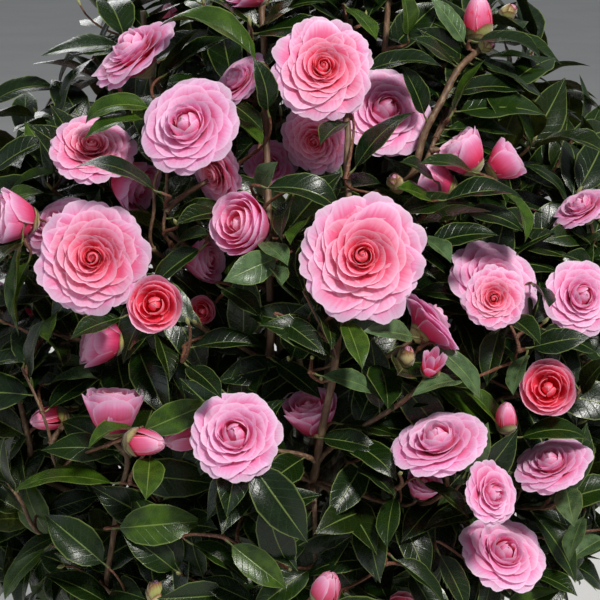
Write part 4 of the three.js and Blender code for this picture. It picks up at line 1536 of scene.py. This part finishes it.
class Shader:
    """A material's nodes, written as one would write sums."""

    def __init__(self, name):
        self.material = bpy.data.materials.new(name)
        self.material.use_nodes = True
        self.tree = self.material.node_tree
        self.tree.nodes.clear()

    def node(self, kind, inputs=(), **settings):
        node = self.tree.nodes.new("ShaderNode" + kind)
        for name, value in settings.items():
            setattr(node, name, value)
        for name, value in dict(inputs).items():
            socket = node.inputs[name]
            if isinstance(value, bpy.types.NodeSocket):
                self.tree.links.new(value, socket)
            else:
                socket.default_value = value
        return node

    def maths(self, operation, *values):
        return self.node("Math", dict(enumerate(values)), operation=operation).outputs[0]

    def plus(self, a, b):
        return self.maths("ADD", a, b)

    def minus(self, a, b):
        return self.maths("SUBTRACT", a, b)

    def times(self, a, b):
        return self.maths("MULTIPLY", a, b)

    def size_of(self, value):
        return self.maths("ABSOLUTE", value)

    def mapped(self, value, low, high, to_low=0.0, to_high=1.0):
        inputs = {"Value": value, 1: low, 2: high, 3: to_low, 4: to_high}
        return self.node("MapRange", inputs, interpolation_type="SMOOTHSTEP").outputs[0]

    def mix(self, factor, a, b):
        return self.node("Mix", {0: factor, 6: a, 7: b}, data_type="RGBA").outputs[2]

    def steps(self, value, colours):
        """One colour for each tile of the map."""
        ramp = self.node("ValToRGB", {"Fac": value})
        ramp.color_ramp.interpolation = "CONSTANT"
        elements = ramp.color_ramp.elements
        elements.remove(elements[-1])
        elements[0].color = colours[0]
        for i in range(1, len(colours)):
            elements.new(i / len(colours)).color = colours[i]
        return ramp.outputs["Color"]

    def map_places(self, tiles):
        """Where a point is on the shared map: u, then across and along its tile, and the tile's number."""
        node = self.node("SeparateXYZ", {0: self.node("UVMap", uv_map="OFBake").outputs[0]})
        u, v = node.outputs[0], node.outputs[1]
        scaled = self.times(u, tiles)
        middle = self.minus(self.maths("FRACT", scaled), 0.5)
        return Sizes(
            u=u,
            across=self.maths("DIVIDE", middle, TILE.half),
            along=self.maths("DIVIDE", self.minus(v, TILE.foot), TILE.length),
            tile=self.maths("FLOOR", scaled),
        )

    def stretched(self, place, across, along, apart=1.0):
        """A place for noise that is stretched to the form and differs from tile to tile."""
        x, y = self.times(place.across, across), self.times(place.along, along)
        return self.node("CombineXYZ", {0: x, 1: y, 2: self.times(place.tile, apart)}).outputs[0]

    def noise(self, vector, scale, detail=2.0, roughness=0.5):
        inputs = {"Vector": vector, "Scale": scale, "Detail": detail, "Roughness": roughness}
        return self.node("TexNoise", inputs).outputs["Fac"]

    def bump(self, height, strength, distance):
        inputs = {"Height": height, "Strength": strength, "Distance": distance}
        return self.node("Bump", inputs).outputs[0]

    def principled(self, colour, roughness, **inputs):
        sockets = {name.replace("_", " "): value for name, value in inputs.items()}
        sockets.update({"Base Color": colour, "Roughness": roughness})
        return self.node("BsdfPrincipled", sockets).outputs[0]

    def finish(self, surface):
        self.node("OutputMaterial", {"Surface": surface})
        return self.material


def linear(level):
    """A level from 0 to 255, as it looks on a screen, as one of Blender's linear numbers."""
    share = level / 255
    if share <= 0.04045:
        return share / 12.92
    return ((share + 0.055) / 1.055) ** 2.4


def srgb(red, green, blue):
    """A colour given as it looks on a screen."""
    return linear(red), linear(green), linear(blue), 1


# Each tint of leaf: its upper side and its under side.
LEAF_COLOURS = [
    (srgb(14, 29, 3), srgb(54, 64, 22)),
    (srgb(19, 36, 4), srgb(58, 68, 24)),
    (srgb(10, 24, 4), srgb(48, 58, 22)),
    (srgb(24, 42, 6), srgb(62, 72, 24)),
    (srgb(22, 32, 3), srgb(60, 66, 20)),
    (srgb(52, 76, 14), srgb(86, 98, 30)),
    # The last tint is painted sheen: its upper side greyed and lightened as if it caught the light.
    (srgb(74, 96, 62), srgb(80, 94, 44)),
]
ON_LEAF = Sizes(
    patch=srgb(16, 36, 12),
    vein=srgb(82, 108, 52),
    rib=srgb(128, 146, 76),
    # The edge colour is a painted highlight along the leaf's rim.
    edge=srgb(116, 132, 70),
)
# The veins of half a leaf, and how far back the rib's end of each starts.
VEINS = Sizes(count=9.0, slant=1.7)


def leaf_material():
    shader = Shader("leaf")
    place = shader.map_places(2 * len(LEAF_COLOURS))
    colour = shader.steps(place.u, [side for tint in LEAF_COLOURS for side in tint])
    away = shader.size_of(place.across)
    slanted = shader.minus(shader.times(place.along, VEINS.count), shader.times(away, VEINS.slant))
    from_vein = shader.size_of(shader.minus(shader.maths("FRACT", slanted), 0.5))
    vein = shader.mapped(from_vein, 0.0, 0.09, 1.0, 0.0)
    rib = shader.mapped(away, 0.01, 0.055, 1.0, 0.0)
    grain_place = shader.stretched(place, 15.0, 66.0, apart=9.0)
    grain = shader.noise(grain_place, 0.8, 3.0)
    patches = shader.noise(grain_place, 0.09)
    colour = shader.mix(shader.mapped(patches, 0.35, 0.7, 0.0, 0.6), colour, ON_LEAF.patch)
    colour = shader.mix(shader.times(vein, 0.07), colour, ON_LEAF.vein)
    colour = shader.mix(shader.times(rib, 0.5), colour, ON_LEAF.rib)
    # Painted highlight: the blade lightens at its rim, as if the edge caught the light.
    colour = shader.mix(shader.mapped(away, 0.9, 0.99, 0.0, 0.55), colour, ON_LEAF.edge)
    height = shader.plus(shader.times(grain, 0.5), shader.times(shader.plus(vein, rib), -0.35))
    normal = shader.bump(height, 0.5, 0.0006)
    roughness = shader.mapped(grain, 0.2, 0.8, 0.2, 0.38)
    return shader.finish(shader.principled(colour, roughness, Normal=normal, Specular_IOR_Level=0.3))


# Each tone of petal, from the palest outer petals to the heart: rim, middle and foot. The deepening towards
# the heart and towards each foot is partly the petals' own colour and partly painted shade in the heart and
# where rows overlap.
PETAL_COLOURS = [
    (srgb(249, 213, 243), srgb(245, 154, 207), srgb(245, 70, 130)),
    (srgb(249, 209, 240), srgb(245, 148, 199), srgb(245, 65, 119)),
    (srgb(249, 204, 235), srgb(246, 139, 188), srgb(245, 60, 108)),
    (srgb(250, 198, 228), srgb(246, 129, 175), srgb(245, 54, 97)),
    (srgb(250, 191, 219), srgb(247, 119, 161), srgb(246, 49, 86)),
    (srgb(250, 183, 210), srgb(247, 110, 148), srgb(246, 44, 77)),
    (srgb(250, 175, 199), srgb(247, 101, 136), srgb(246, 40, 70)),
    (srgb(250, 167, 189), srgb(247, 93, 125), srgb(246, 37, 64)),
    (srgb(250, 159, 179), srgb(247, 86, 115), srgb(246, 34, 59)),
    (srgb(250, 151, 170), srgb(247, 80, 106), srgb(246, 31, 54)),
]


# A painted highlight: a near-white line along each petal's rim.
PETAL_RIM_HIGHLIGHT = srgb(252, 226, 243)


def petal_material():
    shader = Shader("petal")
    place = shader.map_places(len(PETAL_COLOURS))
    rim, middle, foot = (shader.steps(place.u, colours) for colours in zip(*PETAL_COLOURS))
    streaks = shader.noise(shader.stretched(place, 7.0, 1.6), 1.6, 3.0)
    moved = shader.plus(place.along, shader.times(shader.minus(streaks, 0.5), 0.22))
    # Deeper towards the foot: partly the petal's own colour, partly painted shade where the next row in
    # covers it.
    colour = shader.mix(shader.mapped(moved, 0.36, 0.88), foot, middle)
    colour = shader.mix(shader.mapped(moved, 0.76, 1.0), colour, rim)
    # Painted highlight: a thin pale line along the tip and the sides of each petal.
    tip_highlight = shader.mapped(place.along, 0.95, 1.0)
    side_highlight = shader.mapped(shader.size_of(place.across), 0.86, 1.0)
    edge = shader.times(shader.maths("MAXIMUM", tip_highlight, side_highlight), 0.65)
    colour = shader.mix(edge, colour, PETAL_RIM_HIGHLIGHT)
    normal = shader.bump(streaks, 0.25, 0.0008)
    surface = shader.principled(colour, 0.5, Normal=normal, Sheen_Weight=0.12, Sheen_Roughness=0.4)
    glow = shader.node("BsdfTranslucent", {"Color": colour, "Normal": normal}).outputs[0]
    return shader.finish(shader.node("MixShader", {0: 0.5, 1: surface, 2: glow}).outputs[0])


# The tones of scales: those of flowers and large buds, then those of the small buds.
SCALE_COLOURS = [
    srgb(138, 138, 74),
    srgb(166, 158, 98),
    srgb(122, 110, 60),
    srgb(170, 164, 104),
    srgb(192, 178, 124),
    srgb(150, 150, 84),
]
ON_SCALE = Sizes(edge=srgb(120, 62, 34), spot=srgb(104, 112, 50))


def scale_material():
    shader = Shader("scale")
    place = shader.map_places(len(SCALE_COLOURS))
    colour = shader.steps(place.u, SCALE_COLOURS)
    spots = shader.noise(shader.stretched(place, 4.0, 3.0), 2.2, 3.0)
    edge = shader.mapped(shader.plus(place.along, shader.times(spots, 0.25)), 0.9, 1.15)
    colour = shader.mix(edge, colour, ON_SCALE.edge)
    colour = shader.mix(shader.mapped(spots, 0.5, 0.8, 0.0, 0.5), colour, ON_SCALE.spot)
    normal = shader.bump(spots, 0.2, 0.0005)
    return shader.finish(shader.principled(colour, 0.5, Normal=normal, Sheen_Weight=0.3))


TWIG_COLOURS = [
    srgb(84, 70, 54),
    srgb(88, 62, 42),
    srgb(92, 48, 30),
    srgb(84, 98, 44),
    srgb(150, 152, 96),
]
OLD, BROWN, RED, GREEN, BUD = range(5)
ON_TWIG = Sizes(pale=srgb(150, 130, 100), dark=srgb(52, 36, 26))
ON_BARK = Sizes(furrow=srgb(70, 56, 44), ridge=srgb(150, 134, 112), lichen=srgb(150, 158, 134))
FURROW_STRETCH = (1.0, 1.0, 0.22)


def twig_material():
    shader = Shader("twig")
    place = shader.map_places(len(TWIG_COLOURS))
    colour = shader.steps(place.u, TWIG_COLOURS)
    blotches = shader.noise(shader.stretched(place, 2.0, 26.0), 1.0, 4.0, 0.65)
    colour = shader.mix(shader.mapped(blotches, 0.45, 0.72, 0.0, 0.55), colour, ON_TWIG.pale)
    colour = shader.mix(shader.mapped(blotches, 0.5, 0.3, 0.0, 0.6), colour, ON_TWIG.dark)
    normal = shader.bump(blotches, 0.6, 0.0008)
    return shader.finish(shader.principled(colour, 0.6, Normal=normal))


def bark_material():
    shader = Shader("bark")
    place = shader.node("TexCoord").outputs["Object"]
    long_place = shader.node("Mapping", {"Vector": place, "Scale": FURROW_STRETCH}).outputs[0]
    furrows = shader.noise(long_place, 320.0, 5.0, 0.6)
    patches = shader.noise(place, 46.0, 3.0)
    colour = shader.mix(shader.mapped(furrows, 0.35, 0.65), ON_BARK.furrow, ON_BARK.ridge)
    colour = shader.mix(shader.mapped(patches, 0.55, 0.7, 0.0, 0.45), colour, ON_BARK.lichen)
    normal = shader.bump(furrows, 0.7, 0.0012)
    return shader.finish(shader.principled(colour, 0.82, Normal=normal))


# The pieces


def bark_relief(points, ways, amount):
    """How points move out by long furrows and knots."""
    furrow = [noise.noise(Vector(point)) for point in points.reshape(-1, 3) * BARK.furrow]
    knot = [noise.noise(Vector(point)) for point in points.reshape(-1, 3) * BARK.knot + BARK.knot_shift]
    height = amount * (np.array(furrow) + BARK.knot_share * np.array(knot))
    return height.reshape(*ways.shape[:2], 1) * ways


def limb_ways(points, sides):
    return ring_ways(points[None], sides, ASKEW_TO_TRUNK)[0]


def limb_part(points, ways, radii, relief):
    """A limb with bark relief: points along its middle, the ways out round it, and the radius each way."""
    rings = points[:, None] + radii[..., None] * ways
    rings = rings + bark_relief(rings, ways, relief)
    faces, maps = tube_faces(*ways.shape[:2], [0], 1)
    return Sizes(points=rings.reshape(1, -1, 3), faces=faces, maps=maps)


def trunk_part():
    points = trunk_line.at(np.linspace(0, 1, TRUNK_MESH.rows) ** TRUNK_MESH.closer)
    ways = limb_ways(points, TRUNK_MESH.sides)
    height = np.maximum(points[:, 2:], 0)
    flare = TRUNK.flare_radius * np.exp(-height / TRUNK.flare_height)
    angle = np.arctan2(ways[..., 1], ways[..., 0])
    lobe = 1 - TRUNK.lobe_depth * (1 - np.cos(TRUNK.lobes * angle)) / 2
    waist = np.maximum(0, 1 - (TRUNK.height - height) / TRUNK_MESH.waist_height)
    radii = trunk_radius(height) + flare * lobe - TRUNK_MESH.waist * waist**2
    part = limb_part(points, ways, radii, TRUNK_MESH.relief)
    foot = part.points[0, : TRUNK_MESH.sides]
    foot[:, 2] = 0
    return part


def bough_part(bough):
    t = np.linspace(0, 1, BOUGH_MESH.rows)[:, None]
    points = bough.at(t.ravel())
    collar = BOUGH_MESH.collar * np.exp(-t * bough.length() / BOUGH_MESH.collar_length)
    radii = BOUGH.root_radius + (BOUGH.tip_radius - BOUGH.root_radius) * t + collar
    return limb_part(points, limb_ways(points, BOUGH_MESH.sides), radii, BOUGH_MESH.relief)


def nodes_at(turns, depth):
    return depth * np.sin(turns) ** NODE_SHARPNESS


def twig_radii(twig, rows):
    t = np.linspace(0, 1, rows)
    collar = TWIG_MESH.collar * np.exp(-t * twig.line.length() / TWIG_MESH.collar_length)
    nodes = nodes_at(t * TWIG_MESH.node_waves + twig.line.at(0.0)[0], TWIG_MESH.node)
    taper = twig.size.root_radius + (twig.size.tip_radius - twig.size.root_radius) * t
    return taper * (1 + nodes) + collar


def twig_tubes(twigs, rows, sides, tones):
    t = np.linspace(0, 1, rows)
    points = np.array([twig.line.at(t) for twig in twigs])
    radii = np.array([twig_radii(twig, rows) for twig in twigs])
    return tubes(points, radii, sides, tones)


def even_tubes(points, girth, sides, tone):
    """Round limbs that are all as thick as one another."""
    return tubes(points, np.tile(girth, (len(points), 1)), sides, [tone] * len(points))


def mass_tubes(masses):
    """The stems that carry on from the boughs."""
    t = np.linspace(0, 1, STEM_MESH.rows)
    girth = STEM.root_radius + (STEM.tip_radius - STEM.root_radius) * t
    girth *= 1 + nodes_at(t * STEM_MESH.node_waves, STEM_MESH.node)
    return even_tubes(np.array([mass.line.at(t) for mass in masses]), girth, STEM_MESH.sides, OLD)


def tip_buds(twigs):
    tips = np.array([twig.line.at(1.0) for twig in twigs])[:, None]
    ways = np.array([twig.line.heading(1.0) for twig in twigs])[:, None]
    points = tips + np.array(TIP_BUD.along)[:, None] * ways
    return even_tubes(points, TIP_BUD.girth, TIP_BUD.sides, BUD)


def stalks(leaves):
    root = np.array([leaf.root for leaf in leaves])
    end = np.array([leaf.base + leaf.direction * STALK.into_leaf for leaf in leaves])
    sag = np.array([leaf.normal for leaf in leaves]) * STALK.sag
    points = np.stack([root, (root + end) / 2 - sag, end], axis=1)
    return even_tubes(points, STALK.girth, STALK.sides, GREEN)


def wood_parts(masses, viewed_stems, twigs, leaves):
    parts = []
    if viewed_stems:
        tones = [BROWN] * len(viewed_stems)
        parts.append(twig_tubes(viewed_stems, VIEWED_STEM_MESH.rows, VIEWED_STEM_MESH.sides, tones))
    parts.append(mass_tubes(masses))
    tones = [BROWN if twig.size is TWIG else RED for twig in twigs]
    parts.append(twig_tubes(twigs, TWIG_MESH.rows, TWIG_MESH.sides, tones))
    parts.append(tip_buds([twig for twig in twigs if twig.bud]))
    parts.append(stalks(leaves))
    return parts


def grow_shrub():
    """The whole plan of the shrub: each kind of thing on it, with the mass of foliage it belongs to."""
    masses = masses_of()
    shoots = plan_shoots()
    add_late_flowers(shoots)
    flowers = Flowers([shoot.flower for shoot in shoots if shoot.flower])
    for mass in masses:
        mass.wood = ties_along(mass.line, *TIES.mass)
    stems = grow_viewed_stems(masses, flowers)
    borne = [stem.flower for stem in stems if stem.flower]
    others = [shoot for shoot in shoots if not any(shoot.flower is flower for flower in borne)]
    twigs = grow_twigs(masses, others, flowers)
    leaves = Leaves(flowers)
    leaf_twigs = grow_viewed_leaves(masses, leaves, flowers)
    twigs += grow_fine_twigs(masses, flowers)
    grow_leaves(stems + twigs, leaves)
    for flower in flowers.all:
        flower.mass = nearest_mass(flower.middle, masses)
    return Sizes(
        masses=masses,
        stems=stems,
        twigs=twigs + leaf_twigs,
        leaves=leaves.placed,
        flowers=flowers.all,
    )


def dress_limbs(masses):
    bark = bark_material()
    join("trunk_bark", [trunk_part()], bark, ["trunk"])
    boughs = [mass for mass in masses if mass.bough]
    nodes = [f"bough_{mass.name}" for mass in boughs]
    join("bough_bark", [bough_part(mass.bough) for mass in boughs], bark, nodes)


def flower_parts(flowers):
    """The petals and the scales of flowers, with finer petals on those of the viewed side."""
    fine, plain, scales = [], [], []
    for flower in flowers:
        seed = FLOWER_SEED.step * flower.number + FLOWER_SEED.start
        (fine if flower.viewed else plain).extend(petals_of(flower, seed))
        scales += scales_of(flower, seed)
    kinds = [(fine, VIEWED_GRID), (plain, GRID)]
    petals = [petal_part(kind, *grid, len(PETAL_COLOURS)) for kind, grid in kinds if kind]
    return petals, [petal_part(scales, *SCALE_GRID, len(SCALE_COLOURS))]


def build_shrub():
    shrub = grow_shrub()
    materials = Sizes(
        leaf=leaf_material(),
        petal=petal_material(),
        scale=scale_material(),
        twig=twig_material(),
    )
    dress_limbs(shrub.masses)
    for tier in ("top", "side", "skirt"):
        masses = [mass for mass in shrub.masses if mass.tier == tier]
        nodes = [f"foliage_{mass.name}" for mass in masses]
        stems, twigs, leaves, flowers = (
            [thing for thing in things if thing.mass.tier == tier]
            for things in (shrub.stems, shrub.twigs, shrub.leaves, shrub.flowers)
        )
        wood = wood_parts(masses, stems, twigs, leaves)
        petals, scales = flower_parts(flowers)
        join(f"twigs_{tier}", wood, materials.twig, nodes)
        join(f"leaves_{tier}", [leaf_part(leaves)], materials.leaf, nodes)
        join(f"petals_{tier}", petals, materials.petal, nodes)
        join(f"sepals_{tier}", scales, materials.scale, nodes)


# The camera, the light and the floor


def place_camera():
    camera = bpy.data.cameras.new("camera")
    camera.lens = SENSOR * SIGHT.distance / FRAME_WIDTH
    camera.sensor_width = SENSOR
    holder = bpy.data.objects.new("camera", camera)
    holder.location = eye * MILLIMETRE
    holder.rotation_mode = "QUATERNION"
    holder.rotation_quaternion = Vector(sight.forward).to_track_quat("-Z", "Y")
    bpy.context.scene.collection.objects.link(holder)
    bpy.context.scene.camera = holder


LIGHTS = [
    Sizes(name="key", place=(1.2, -2.1, 2.95), size=0.6, power=138, colour=(1.0, 0.97, 0.93)),
    Sizes(name="fill", place=(-2.4, -1.8, 1.5), size=2.2, power=17, colour=(0.84, 0.9, 1.0)),
    Sizes(name="back", place=(-0.8, 2.6, 2.2), size=1.8, power=34, colour=(1.0, 1.0, 1.0)),
]
LIGHTS_AIM = Vector((0, 0, 0.5))
SKY = Sizes(colour=(0.82, 0.85, 0.9, 1), strength=0.28)
FLOOR = Sizes(half=25, dark=(0.62, 0.62, 0.60, 1), pale=(0.66, 0.66, 0.64, 1))


def add_light(row):
    light = bpy.data.lights.new(row.name, "AREA")
    light.shape = "DISK"
    light.size = row.size
    light.energy = row.power
    light.color = row.colour
    holder = bpy.data.objects.new(row.name, light)
    holder.location = row.place
    holder.rotation_mode = "QUATERNION"
    holder.rotation_quaternion = (LIGHTS_AIM - Vector(row.place)).to_track_quat("-Z", "Y")
    bpy.context.scene.collection.objects.link(holder)


def light_studio():
    for row in LIGHTS:
        add_light(row)
    world = bpy.data.worlds.new("studio")
    world.use_nodes = True
    background = world.node_tree.nodes["Background"]
    background.inputs["Color"].default_value = SKY.colour
    background.inputs["Strength"].default_value = SKY.strength
    bpy.context.scene.world = world


def lay_floor():
    mesh = bpy.data.meshes.new("floor")
    corners = [(-1, -1), (1, -1), (1, 1), (-1, 1)]
    mesh.from_pydata([(FLOOR.half * x, FLOOR.half * y, 0) for x, y in corners], [], [(0, 1, 2, 3)])
    shader = Shader("floor")
    place = shader.node("TexCoord").outputs["Object"]
    colour = shader.mix(shader.mapped(shader.noise(place, 3.0, 3.0), 0.3, 0.7), FLOOR.dark, FLOOR.pale)
    mesh.materials.append(shader.finish(shader.principled(colour, 0.8)))
    floor = bpy.data.objects.new("floor", mesh)
    bpy.context.scene.collection.objects.link(floor)


build_shrub()
place_camera()
light_studio()
lay_floor()
bpy.context.scene.view_settings.view_transform = "Standard"
